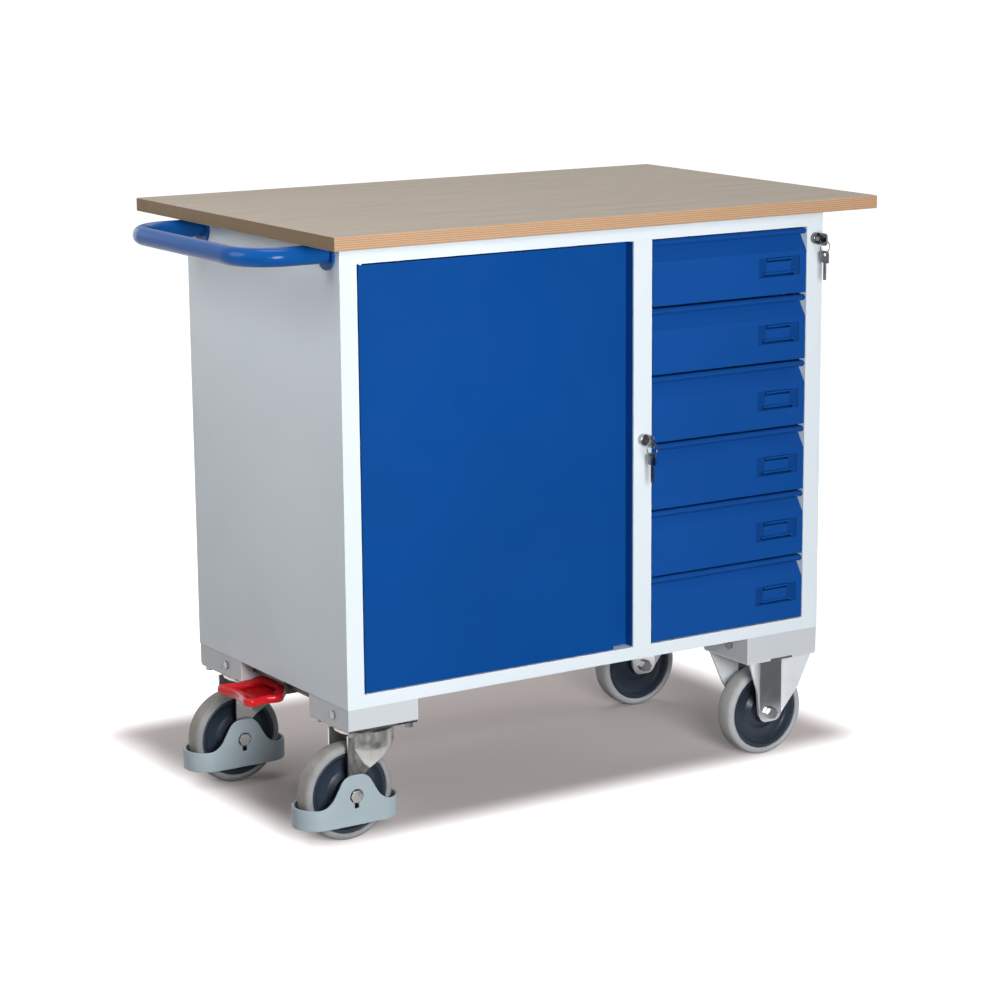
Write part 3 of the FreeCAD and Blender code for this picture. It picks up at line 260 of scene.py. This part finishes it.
topLow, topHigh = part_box("worktop")
board = {
    "colour": (0.4, 0.345, 0.285),
    "roughness": 0.55,
    "specular": 0.18,
    # noises: scale, detail, roughness, stretch, place
    "streaks": (9.0, 6.0, 0.62, (0.35, 9.0, 1.0)),
    "fibres": (60.0, 3.0, 0.6, (0.18, 9.0, 1.0)),
    "clouds": (3.2, 3.0, 0.5, (0.6, 1.6, 1.0), (0.4, 0.1, 0)),
    "waviness": (7.0, 2.0),
    "pores": (700.0, 3.0, 0.7, (1.0, 1.0, 2.4)),
    "grain": (40.0, 4.0, 0.6, (0.3, 0.3, 26.0)),
    # the face: shares of streaks, fibres and clouds, then the tones they give
    "shares": (0.5, 0.3, 0.35),
    "tones": [(0.12, (0.31, 0.252, 0.19)), (0.5, (0.395, 0.33, 0.262)), (0.95, (0.48, 0.412, 0.34))],
    "fleck": (0.24, 0.185, 0.135),
    "fleckSize": (90.0, 620.0, 1.0),
    "fleckSpan": (0.1, 0.34),
    "fleckShare": 0.22,
    # the edges: thickness of a ply, share of it that is glue, and colours
    "ply": 0.00169,
    "bend": 0.0009,
    "glue": 0.16,
    "glueShare": 0.5,
    "glueLine": (0.2, 0.105, 0.05),
    "longPly": ((0.49, 0.295, 0.17), (0.64, 0.43, 0.28)),
    "crossPly": ((0.36, 0.2, 0.105), (0.54, 0.35, 0.215)),
    "poreSpan": (0.35, 0.68),
    "endPlies": ((0.145, 0.102, 0.056), (0.198, 0.143, 0.084)),
    "endShare": 0.86,
    # how deep from the outside a face and an end are told from an edge
    "face": 0.0006,
    "end": 0.0009,
    "rough": (0.5, 0.64),
    "relief": 0.00008,
}


def nearOutside(value, low, high, depth):
    # 1 where the value lies within the depth of one of the two sides
    return abs(value - (low + high) / 2) > (high - low) / 2 - depth


def plywood():
    finish = Finish("birchPlywood", board["colour"], board["roughness"], specular=board["specular"])
    x, _, z = finish.axes(finish.place())
    # the oiled face: fine streaks along the board, short flecks, broad clouds
    streaks = finish.noise(*board["streaks"])
    fibres = finish.noise(*board["fibres"])
    cells = {"Vector": finish.place(board["fleckSize"]), "Scale": 1.0}
    flecks = finish.add("ShaderNodeTexVoronoi", {"feature": "F1"}, cells, output="Distance")
    clouds = finish.noise(*board["clouds"])
    streaked, fibrous, clouded = board["shares"]
    tone = finish.limit(streaks, *narrow) * streaked + finish.limit(fibres, *wide) * fibrous
    face = finish.ramp(tone + clouds * clouded, board["tones"])
    fleckMask = finish.limit(flecks, *board["fleckSpan"], board["fleckShare"], 0.0)
    face = finish.mix(fleckMask, face, board["fleck"])
    # the sawn edges: plies crossing in turn, with a dark glue line between them
    layer = (z + finish.noise(*board["waviness"]) * board["bend"]) / board["ply"]
    along = (layer * 0.5).fract() < 0.5
    glue = finish.limit(abs(layer.fract() - 0.5), 0.5 - board["glue"], 0.5)
    pores = finish.noise(*board["pores"])
    longPly = finish.mix(finish.noise(*board["grain"]), *board["longPly"])
    crossPly = finish.mix(finish.limit(pores, *board["poreSpan"]), *board["crossPly"])
    edge = finish.mix(along, longPly, crossPly)
    edge = finish.mix(glue * board["glueShare"], edge, board["glueLine"])
    ends = nearOutside(x, topLow.x, topHigh.x, board["end"])
    edge = finish.mix(ends * board["endShare"], edge, finish.mix(along, *board["endPlies"]))
    isFace = nearOutside(z, topLow.z, topHigh.z, board["face"])
    finish.set("Base Color", finish.mix(isFace, edge, face))
    finish.set("Roughness", finish.limit(streaks, *narrow, *board["rough"]))
    finish.bump(fibres * 0.5 + pores * 0.3, board["relief"])
    return finish.material


# a fixed castor's leg: where the flanges' painted sheen comes in beside the channel, and how much metal
# it takes away
fixedLeg = {
    "channel": (0.0225, 0.025),
    "flangeSheen": 0.8,
}
axleLow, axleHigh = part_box("fixed_axle_bolts")


def flangeSheen(finish):
    # the flanges beside the channel of a fixed castor's leg are made less metallic, so their pale colour
    # shows as a painted bright sheen; the channel stays fully metallic
    x = finish.axes(finish.place())[0]
    aside = finish.limit(abs(x - (axleLow.x + axleHigh.x) / 2), *fixedLeg["channel"])
    return 1.0 - aside * fixedLeg["flangeSheen"]


plating = {
    # noises: scale, detail, roughness
    "lines": (55.0, 5.0, 0.62),
    "patch": (38.0, 3.0, 0.55),
    "linesShare": 0.45,
    "patchShare": 0.55,
    "shadeSpan": (0.1, 0.9),
    "smoothest": 0.75,
    "roughest": 1.35,
}


def platedSteel(name, colour, roughness, stretch, cloud, lined=0.00002, flanged=False, metallic=1.0):
    # drawn lines one way, cloudy patches
    finish = Finish(name, colour, roughness, metallic=metallic)
    # painted sheen: a flanged steel is less metallic beside the channel, so its flanges show bright
    if flanged:
        finish.set("Metallic", flangeSheen(finish))
    lines = finish.noise(*plating["lines"], stretch)
    patch = finish.noise(*plating["patch"])
    streaky = finish.limit(lines, *wide) * plating["linesShare"]
    shade = streaky + finish.limit(patch, *narrow) * plating["patchShare"]
    finish.set("Base Color", finish.drifting(shade, colour, cloud))
    rough = (roughness * plating["smoothest"], roughness * plating["roughest"])
    finish.set("Roughness", finish.limit(shade, *plating["shadeSpan"], *rough))
    finish.bump(lines, lined)
    return finish.material


even = (1.0, 1.0, 1.0)
steels = {
    # colour, roughness, stretch of the lines, strength of the clouds, and what only this steel has
    "satinSteel": ((0.46, 0.46, 0.445), 0.34, (1.5, 1.5, 0.5), 0.04, {"lined": 0.0000002}),
    # the castor plates' steel is dark: partly their own dull finish, partly painted shade for the gap
    # under the brackets
    "castorPlateSteel": ((0.2, 0.2, 0.2), 0.35, even, 0.1, {}),
    "brightZinc": ((0.78, 0.81, 0.84), 0.13, (1.0, 1.0, 0.6), 0.04, {"lined": 0.000004, "flanged": True}),
    "boltZinc": ((0.58, 0.59, 0.59), 0.3, (2.0, 2.0, 2.0), 0.04, {}),
    "plateBoltZinc": ((0.27, 0.28, 0.29), 0.4, (2.0, 2.0, 2.0), 0.08, {}),
    "galvanised": ((0.55, 0.56, 0.56), 0.36, (0.3, 1.0, 1.0), 0.14, {}),
    "darkSteel": ((0.085, 0.082, 0.08), 0.42, even, 0.3, {}),
    "chromePlate": ((0.4, 0.4, 0.4), 0.16, even, 0.05, {}),
    "nickelPlate": ((0.27, 0.262, 0.255), 0.34, even, 0.08, {"metallic": 0.45}),
    "blackChrome": ((0.2, 0.195, 0.19), 0.18, even, 0.12, {}),
}
plated = {name: platedSteel(name, *look, **extra) for name, (*look, extra) in steels.items()}


moulding = {
    # noises: scale, detail, roughness
    "flow": (14.0, 4.0, 0.6),
    "worn": (60.0, 3.0),
    "spark": (900.0, 2.0),
    "smoother": 0.06,
    "rougher": 0.08,
}


def moulded(name, colour, roughness, drift, texture, specular=0.5):
    # injection moulded plastic: fine spark texture, flow marks
    finish = Finish(name, colour, roughness, specular=specular)
    flow = finish.noise(*moulding["flow"])
    finish.set("Base Color", finish.drifting(finish.limit(flow, *narrow), colour, drift))
    worn = finish.noise(*moulding["worn"])
    rough = (roughness - moulding["smoother"], roughness + moulding["rougher"])
    finish.set("Roughness", finish.limit(worn, *narrow, *rough))
    finish.bump(finish.noise(*moulding["spark"]), texture)
    return finish.material


guardPlastic = moulded("guardPlastic", (0.35, 0.425, 0.465), 0.5, drift=0.05, texture=0.00004)
rimPlastic = moulded("rimPlastic", (0.023, 0.033, 0.05), 0.34, drift=0.12, texture=0.00003, specular=0.24)

tyreRubber = {
    "colour": (0.27, 0.275, 0.28),
    "roughness": 0.62,
    "specular": 0.35,
    "treadFrom": 0.0045,
    "treadFull": 0.0015,
    "dust": (30.0, 5.0, 0.62),
    "side": ((0.245, 0.255, 0.265), (0.315, 0.325, 0.335)),
    "rolling": ((0.26, 0.25, 0.235), (0.38, 0.365, 0.34)),
    "fixedTint": (0.75, 0.78, 0.82),
    "fixedShare": 0.3,
    "rough": (0.5, 0.72),
    "grain": (500.0, 3.0, 0.6),
    "relief": 0.00006,
}


def rubber():
    sizes = tyreRubber
    finish = Finish("greyRubber", sizes["colour"], sizes["roughness"], specular=sizes["specular"])
    x, _, z = finish.axes(finish.place())
    swivelLow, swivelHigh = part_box("swivel_tyre_rear")
    fixedLow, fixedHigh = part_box("fixed_tyre_rear")
    swivelMiddle = (swivelLow.x + swivelHigh.x) / 2
    fixedMiddle = (fixedLow.x + fixedHigh.x) / 2
    axleHeight = (swivelLow.z + swivelHigh.z) / 2
    isFixed = x > 0.0
    middle = swivelMiddle + isFixed * (fixedMiddle - swivelMiddle)
    reach = ((x - middle) * (x - middle) + (z - axleHeight) * (z - axleHeight)).root()
    tread = finish.limit(reach, axleHeight - sizes["treadFrom"], axleHeight - sizes["treadFull"])
    dust = finish.noise(*sizes["dust"])
    side = finish.mix(finish.limit(dust, *narrow), *sizes["side"])
    rolling = finish.mix(finish.limit(dust, *narrow), *sizes["rolling"])
    worn = finish.mix(tread, side, rolling)
    # the fixed castors' rubber is a paler grey
    finish.set("Base Color", finish.mix(isFixed * sizes["fixedShare"], worn, sizes["fixedTint"]))
    finish.set("Roughness", finish.limit(dust, *wide, *sizes["rough"]))
    finish.bump(finish.noise(*sizes["grain"]), sizes["relief"])
    return finish.material


finishes = {
    "plywood": plywood(),
    "grey_paint": coated["cabinetGrey"],
    "blue_paint": coated["doorBlue"],
    "red_paint": coated["pedalRed"],
    "zinc": plated["boltZinc"],
    "dark_steel": plated["darkSteel"],
    "chrome": plated["chromePlate"],
    "guard_plastic": guardPlastic,
    "rim_plastic": rimPlastic,
    "tyre": rubber(),
}
special = {
    "push_handle": coated["handleBlue"],
    "cabinet_runners": plated["galvanised"],
    "frame_bolts": plated["plateBoltZinc"],
    "swivel_fork_front": plated["satinSteel"],
    "swivel_fork_rear": plated["satinSteel"],
    "swivel_castor_plates": plated["castorPlateSteel"],
    "swivel_castor_brackets": coated["bracketGrey"],
    "fixed_castor_brackets": coated["bracketGrey"],
    "fixed_fork_front": plated["brightZinc"],
    "fixed_fork_rear": plated["brightZinc"],
    "fixed_axle_bolts": plated["plateBoltZinc"],
    "drawer_lock_barrel": plated["blackChrome"],
    "drawer_key": plated["nickelPlate"],
    "drawer_spare_key": plated["nickelPlate"],
    "drawer_key_ring": plated["blackChrome"],
    "door_key": plated["chromePlate"],
    "door_spare_key": plated["blackChrome"],
    "door_key_ring": plated["blackChrome"],
}
for count in range(1, 7):
    special[f"drawer_{count}_front"] = coated["drawerBlue"]
for row in frame["record"]["subparts"]:
    node = nodes[row["node"]]
    material = special.get(row["node"], finishes[row["material_slot"]])
    node.data.materials.clear()
    node.data.materials.append(material)
print("finishes:", len(bpy.data.materials))


eased = {
    "worktop": 0.0008,
    "foot_guard_front": 0.0017,
    "foot_guard_rear": 0.0017,
    "swivel_fork_front": 0.0009,
    "swivel_fork_rear": 0.0009,
    "fixed_fork_front": 0.0012,
    "fixed_fork_rear": 0.0012,
    "swivel_axle_bolt_front": 0.0012,
    "swivel_axle_bolt_rear": 0.0012,
    "fixed_axle_bolts": 0.0012,
    "frame_bolts": 0.0009,
}
plain = {
    "edge": 0.0004,
    "angle": 32,
    "flatAngle": 0.2,
    "segments": 2,
}
mergeDistance = 0.00001
for name, node in nodes.items():
    weld = node.modifiers.new("weld", "WELD")
    weld.merge_threshold = mergeDistance
    flat = node.modifiers.new("flat", "DECIMATE")
    flat.decimate_type = "DISSOLVE"
    flat.angle_limit = math.radians(plain["flatAngle"])
    edge = node.modifiers.new("edge", "BEVEL")
    edge.width = eased.get(name, plain["edge"])
    edge.segments = plain["segments"]
    edge.limit_method = "ANGLE"
    edge.angle_limit = math.radians(plain["angle"])
    edge.use_clamp_overlap = True
    edge.harden_normals = False
    node.data.shade_smooth()
    tidy = node.modifiers.new("shading", "WEIGHTED_NORMAL")
    tidy.keep_sharp = True
print("edges eased:", len(eased))


wheel = {
    "turns": 72,
    "rimHalf": 0.017,
    "lipWidth": 0.0055,
    "bowlDepth": 0.0125,
    "collarRadius": 0.0265,
    "hubRadius": 0.017,
    "boreRadius": 0.0051,
    "groove": 0.0012,
    # tyre: share of the half width, drop below the tread
    "crown": [(0.45, 0.0), (0.72, 0.00108), (0.9, 0.0035), (1.0, 0.0078)],
    # tyre: in from the side, out from the rim
    "bead": [(0.0, 0.0026), (0.0009, 0.0009), (0.0026, 0.0)],
    # rim: out from the web, in from the lip
    "bowl": [(0.006, 0.003), (0.0012, 0.0075), (0.0, 0.016)],
    # rim: out from the web, out from the collar
    "collar": [(0.001, 0.009), (0.005, 0.003), (0.0075, 0.0), (0.0075, -0.0035)],
    # rim: out from the web, out from the hub
    "root": (0.0065, 0.0045),
    # rim: in from the end of the hub, in from its radius
    "hub": [(0.008, 0.0), (0.001, 0.002), (0.0, 0.004)],
    "tyreRounding": 0.0012,
    "rimRounding": 0.0009,
    "roundSegments": 3,
    "roundAngle": 20,
    "smoothAngle": 40,
}
seedSize = 0.001


def startPoint(name, place):
    # a new piece in edit mode that is one point, to be drawn out into an outline
    bpy.ops.object.select_all(action="DESELECT")
    bpy.ops.mesh.primitive_plane_add(size=seedSize)
    piece = bpy.context.object
    piece.name = name
    bpy.ops.object.mode_set(mode="EDIT")
    bpy.ops.mesh.merge(type="CENTER")
    bpy.ops.transform.translate(value=place)
    return piece


def mergeAll():
    bpy.ops.mesh.select_all(action="SELECT")
    bpy.ops.mesh.remove_doubles(threshold=mergeDistance)


def drawRound(points):
    # draws the last point of a piece out along a closed line of points
    for start, end in zip(points, points[1:] + points[:1]):
        step = [there - here for here, there in zip(start, end)]
        bpy.ops.mesh.extrude_vertices_move(TRANSFORM_OT_translate={"value": step})
    mergeAll()


def turned(name, profile):
    # a closed profile of (along the axle, out from it), spun round the axle
    points = [(0, *point) for point in profile]
    piece = startPoint(name, points[0])
    drawRound(points)
    bpy.ops.mesh.spin(steps=wheel["turns"], angle=2 * math.pi, center=(0, 0, 0), axis=(0, 1, 0))
    mergeAll()
    bpy.ops.mesh.normals_make_consistent(inside=False)
    bpy.ops.object.mode_set(mode="OBJECT")
    return piece


def roundEdges(piece, width):
    # the corners of a profile made round and shaded smooth
    bevel = piece.modifiers.new("round", "BEVEL")
    bevel.width = width
    bevel.segments = wheel["roundSegments"]
    bevel.limit_method = "ANGLE"
    bevel.angle_limit = math.radians(wheel["roundAngle"])
    bpy.ops.object.modifier_apply(modifier=bevel.name)
    bpy.ops.object.shade_smooth_by_angle(angle=math.radians(wheel["smoothAngle"]))


def bothSides(half):
    # a half profile from the middle outwards, mirrored to the other side of the wheel
    return half + [(-along, out) for along, out in reversed(half)]


def makeTyre(width, radius, inner):
    side = width / 2
    half = [(side * share, radius - drop) for share, drop in wheel["crown"]]
    half += [(side - into, inner + out) for into, out in wheel["bead"]]
    piece = turned("tyre", bothSides(half))
    roundEdges(piece, wheel["tyreRounding"])
    return piece


def makeRim(radius, hubHalf):
    rimHalf, groove, hubRadius = wheel["rimHalf"], wheel["groove"], wheel["hubRadius"]
    web = rimHalf - wheel["bowlDepth"]
    lip = radius - wheel["lipWidth"]
    rootOut, rootRise = wheel["root"]
    half = [(rimHalf - groove, radius), (rimHalf, radius - groove), (rimHalf, lip)]
    half += [(web + out, lip - drop) for out, drop in wheel["bowl"]]
    half += [(web + out, wheel["collarRadius"] + rise) for out, rise in wheel["collar"]]
    half.append((web + rootOut, hubRadius + rootRise))
    half += [(hubHalf - into, hubRadius - drop) for into, drop in wheel["hub"]]
    half.append((hubHalf, wheel["boreRadius"]))
    piece = turned("rim", bothSides(half))
    roundEdges(piece, wheel["rimRounding"])
    return piece


def copyTo(piece, name, place):
    # a copy with its own mesh, whose place goes into the mesh
    bpy.ops.object.select_all(action="DESELECT")
    piece.select_set(True)
    bpy.context.view_layer.objects.active = piece
    bpy.ops.object.duplicate()
    copy = bpy.context.object
    copy.name = name
    copy.location = place
    bpy.ops.object.transform_apply(location=True)
    return copy


def makeWheels():
    low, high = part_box("swivel_tyre_front")
    rimLow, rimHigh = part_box("swivel_rim_front")
    radius = (high.z - low.z) / 2
    middle = (rimLow.y + rimHigh.y) / 2
    rimRadius = (rimHigh.z - rimLow.z) / 2
    patterns = {
        "tyre": ("tyre", makeTyre(high.y - low.y, radius, rimRadius)),
        "rim": ("rim_plastic", makeRim(rimRadius, rimHigh.y - middle)),
    }
    for kind, (slot, pattern) in patterns.items():
        for where in ("swivel", "fixed"):
            for end in ("front", "rear"):
                node = f"{where}_{kind}_{end}"
                boxLow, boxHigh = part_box(node)
                piece = copyTo(pattern, f"{where}{kind.title()}{end.title()}", (boxLow + boxHigh) / 2)
                piece.data.materials.append(finishes[slot])
                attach(piece, f"{where}_wheel_{end}")
                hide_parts(node)
        bpy.data.objects.remove(pattern)
    print("wheels made")


makeWheels()

pedal = {
    "outline": [
        (0.012, 0.0), (0.012, 0.02), (0.009, 0.037), (-0.002, 0.046),
        (-0.009, 0.056), (-0.02, 0.0605), (-0.031, 0.0565), (-0.042, 0.053),
        (-0.052, 0.0565), (-0.063, 0.0605), (-0.074, 0.058), (-0.079, 0.048),
        (-0.077, 0.036), (-0.073, 0.023), (-0.071, 0.011), (-0.07, 0.0),
    ],
    "underside": 0.002,
    "thickness": 0.01,
    "rimSteps": [(0.003, 0.0026), (0.005, 0.0006), (0.004, -0.0032), (0.006, -0.0012)],
    "belly": (0.003, -0.002),
    "lifts": [(-0.026, 0.0015), (-0.016, 0.0025), (-0.006, 0.003), (0.002, 0.002)],
    "liftedAbove": (-1.0, 0.007),
    "tongueHalf": 0.049,
    "facingDown": -0.9,
    "smoothing": 3,
}


def pickFaces(piece, wanted):
    bpy.ops.object.mode_set(mode="OBJECT")
    for face in piece.data.polygons:
        face.select = wanted(face)
    bpy.ops.object.mode_set(mode="EDIT")


def pickPoints(piece, wanted):
    bpy.ops.object.mode_set(mode="EDIT")
    bpy.ops.mesh.select_mode(type="VERT")
    bpy.ops.mesh.select_all(action="DESELECT")
    bpy.ops.object.mode_set(mode="OBJECT")
    for point in piece.data.vertices:
        point.select = wanted(point.co)
    bpy.ops.object.mode_set(mode="EDIT")


def insetAndLift(thickness, rise):
    bpy.ops.mesh.inset(thickness=thickness, depth=0)
    bpy.ops.transform.translate(value=(0, 0, rise))


def makePedal():
    # a thick lobed pad with a rounded rim round a dish; it rises to the hub on the shaft
    low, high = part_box("brake_pedal")
    shaftLow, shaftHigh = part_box("brake_shaft")
    side = pedal["outline"]
    outline = [(x, y, pedal["underside"]) for x, y in side]
    outline += [(x, -y, pedal["underside"]) for x, y in reversed(side[1:-1])]
    piece = startPoint("footPedal", outline[0])
    drawRound(outline)
    bpy.ops.mesh.edge_face_add()
    bpy.ops.mesh.extrude_region_move(TRANSFORM_OT_translate={"value": (0, 0, pedal["thickness"])})
    for thickness, rise in pedal["rimSteps"]:
        insetAndLift(thickness, rise)
    # the dish has no floor of its own: through it the inside of the pad's underside shows
    bpy.ops.mesh.delete(type="ONLY_FACE")
    bpy.ops.mesh.select_all(action="SELECT")
    bpy.ops.mesh.normals_make_consistent(inside=False)
    bpy.ops.mesh.select_all(action="DESELECT")
    bpy.ops.mesh.select_mode(type="FACE")
    pickFaces(piece, lambda face: face.normal.z < pedal["facingDown"])
    insetAndLift(*pedal["belly"])
    for start, rise in pedal["lifts"]:
        # half of the rise for the whole tongue, and half more for its upper side
        for floor in pedal["liftedAbove"]:
            pickPoints(piece, lambda point: point.x > start and point.z > floor
                       and abs(point.y) < pedal["tongueHalf"])
            bpy.ops.transform.translate(value=(0, 0, rise / 2))
    bpy.ops.object.mode_set(mode="OBJECT")
    rounding = piece.modifiers.new("rounding", "SUBSURF")
    rounding.levels = pedal["smoothing"]
    bpy.ops.object.modifier_apply(modifier=rounding.name)
    bpy.ops.object.shade_smooth()
    piece.location = ((shaftLow.x + shaftHigh.x) / 2, (low.y + high.y) / 2, low.z)
    bpy.ops.object.transform_apply(location=True)
    piece.data.materials.append(finishes["red_paint"])
    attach(piece, "brake")
    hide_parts("brake_pedal")
    print("pedal made")


makePedal()

studio = {
    "floorSize": 120.0,
    "floorSeen": (0.72, 0.65, 0.64),
    "floorFelt": (0.15, 0.15, 0.15),
    "dimmed": (-0.52, -0.26),
    "shadowMiddle": (0.1, 0.185),
    "shadowHalf": (0.5, 0.335),
    "shadowEdge": 0.14,
    "bright": 1.0,
    "dark": 0.08,
    "sweep": (-1.0, 0.3),
    "turn": -0.1,
    "fill": 0.17,
}


def makeFloor():
    bpy.ops.object.select_all(action="DESELECT")
    bpy.ops.mesh.primitive_plane_add(size=studio["floorSize"])
    floor = bpy.context.object
    floor.name = "studioFloor"
    finish = Finish("studioFloor", studio["floorSeen"], 1.0, specular=0.0)
    x, y, _ = finish.axes(finish.place())
    kinds = ("Is Camera Ray", "Is Glossy Ray", "Is Transmission Ray")
    camera, glossy, clear = [finish.add("ShaderNodeLightPath", output=kind) for kind in kinds]
    # mirrored in metal the floor is pale behind the bench and dim in front of it
    seen = camera + (glossy + clear) * finish.limit(y, *studio["dimmed"])
    finish.set("Base Color", finish.mix(seen, studio["floorFelt"], studio["floorSeen"]))
    # beyond the bench's shadow the floor is plain white
    (middleX, middleY), (halfX, halfY) = studio["shadowMiddle"], studio["shadowHalf"]
    beyondX = (abs(x - middleX) - halfX).atLeast(0.0)
    beyondY = (abs(y - middleY) - halfY).atLeast(0.0)
    beyond = (beyondX * beyondX + beyondY * beyondY).root()
    white = finish.limit(beyond, 0.0, studio["shadowEdge"])
    finish.set("Emission Color", finish.mix(white * seen, (0, 0, 0), (1, 1, 1)))
    finish.set("Emission Strength", 1.0)
    floor.data.materials.append(finish.material)


def makeWorld():
    # a sweep that is white behind, more so to the right, and dim in front; the camera sees plain white
    world = bpy.data.worlds.new("studio")
    bpy.context.scene.world = world
    world.use_nodes = True
    tree = world.node_tree
    background = tree.nodes["Background"]
    background.inputs["Color"].default_value = (1, 1, 1, 1)

    def maths(operation, first, second):
        node = tree.nodes.new("ShaderNodeMath")
        node.operation = operation
        for socket, value in zip(node.inputs, (first, second)):
            if isinstance(value, float):
                socket.default_value = value
            else:
                tree.links.new(value, socket)
        return node.outputs[0]

    place = tree.nodes.new("ShaderNodeTexCoord")
    parts = tree.nodes.new("ShaderNodeSeparateXYZ")
    tree.links.new(place.outputs["Generated"], parts.inputs[0])
    span = tree.nodes.new("ShaderNodeMapRange")
    span.interpolation_type = "SMOOTHSTEP"
    span.inputs["From Min"].default_value, span.inputs["From Max"].default_value = studio["sweep"]
    span.inputs["To Min"].default_value = studio["dark"]
    span.inputs["To Max"].default_value = studio["bright"]
    aside = maths("MULTIPLY", parts.outputs["X"], studio["turn"])
    tree.links.new(maths("SUBTRACT", parts.outputs["Y"], aside), span.inputs["Value"])
    path = tree.nodes.new("ShaderNodeLightPath").outputs
    mirrored = maths("MAXIMUM", path["Is Glossy Ray"], path["Is Transmission Ray"])
    share = maths("MAXIMUM", mirrored, studio["fill"])
    strength = maths("MAXIMUM", path["Is Camera Ray"], maths("MULTIPLY", share, span.outputs[0]))
    tree.links.new(strength, background.inputs["Strength"])


lamps = {
    # place, diameter, power
    "key": ((-0.8, -3.2, 1.15), 1.3, 114.0),
    "side": ((-1.3, 0.0, 1.35), 0.6, 4.6),
    "top": ((-0.2, -0.2, 4.0), 1.8, 39.5),
    "back": ((1.6, 2.6, 3.4), 2.4, 19.0),
    "right": ((2.9, 0.1, 1.1), 2.2, 22.0),
    "rear": ((-0.9, 3.3, 1.2), 2.2, 17.0),
}
lampAim = Vector((0, 0, 0.5))


def makeLamp(name, place, size, power):
    lamp = bpy.data.lights.new(name + "Lamp", "AREA")
    lamp.shape = "DISK"
    lamp.size = size
    lamp.energy = power
    holder = bpy.data.objects.new(name + "Lamp", lamp)
    bpy.context.scene.collection.objects.link(holder)
    holder.location = place
    holder.rotation_euler = (lampAim - holder.location).to_track_quat("-Z", "Y").to_euler()


cameraPlace = {
    "location": (-2.609, -4.161, 1.5185),
    "tilt": (77.764, 0, -34.606),
    "lens": 105.43,
    "shift": (-0.1127, 0.0129),
    "farthest": 100,
}


def makeCamera():
    camera = bpy.data.objects.new("camera", bpy.data.cameras.new("camera"))
    bpy.context.scene.collection.objects.link(camera)
    camera.location = cameraPlace["location"]
    camera.rotation_euler = [math.radians(angle) for angle in cameraPlace["tilt"]]
    camera.data.lens = cameraPlace["lens"]
    camera.data.shift_x, camera.data.shift_y = cameraPlace["shift"]
    camera.data.clip_end = cameraPlace["farthest"]
    bpy.context.scene.camera = camera


makeFloor()
makeWorld()
for lampName, lampSizes in lamps.items():
    makeLamp(lampName, *lampSizes)
makeCamera()
bpy.context.scene.view_settings.view_transform = "Standard"
print("studio ready")
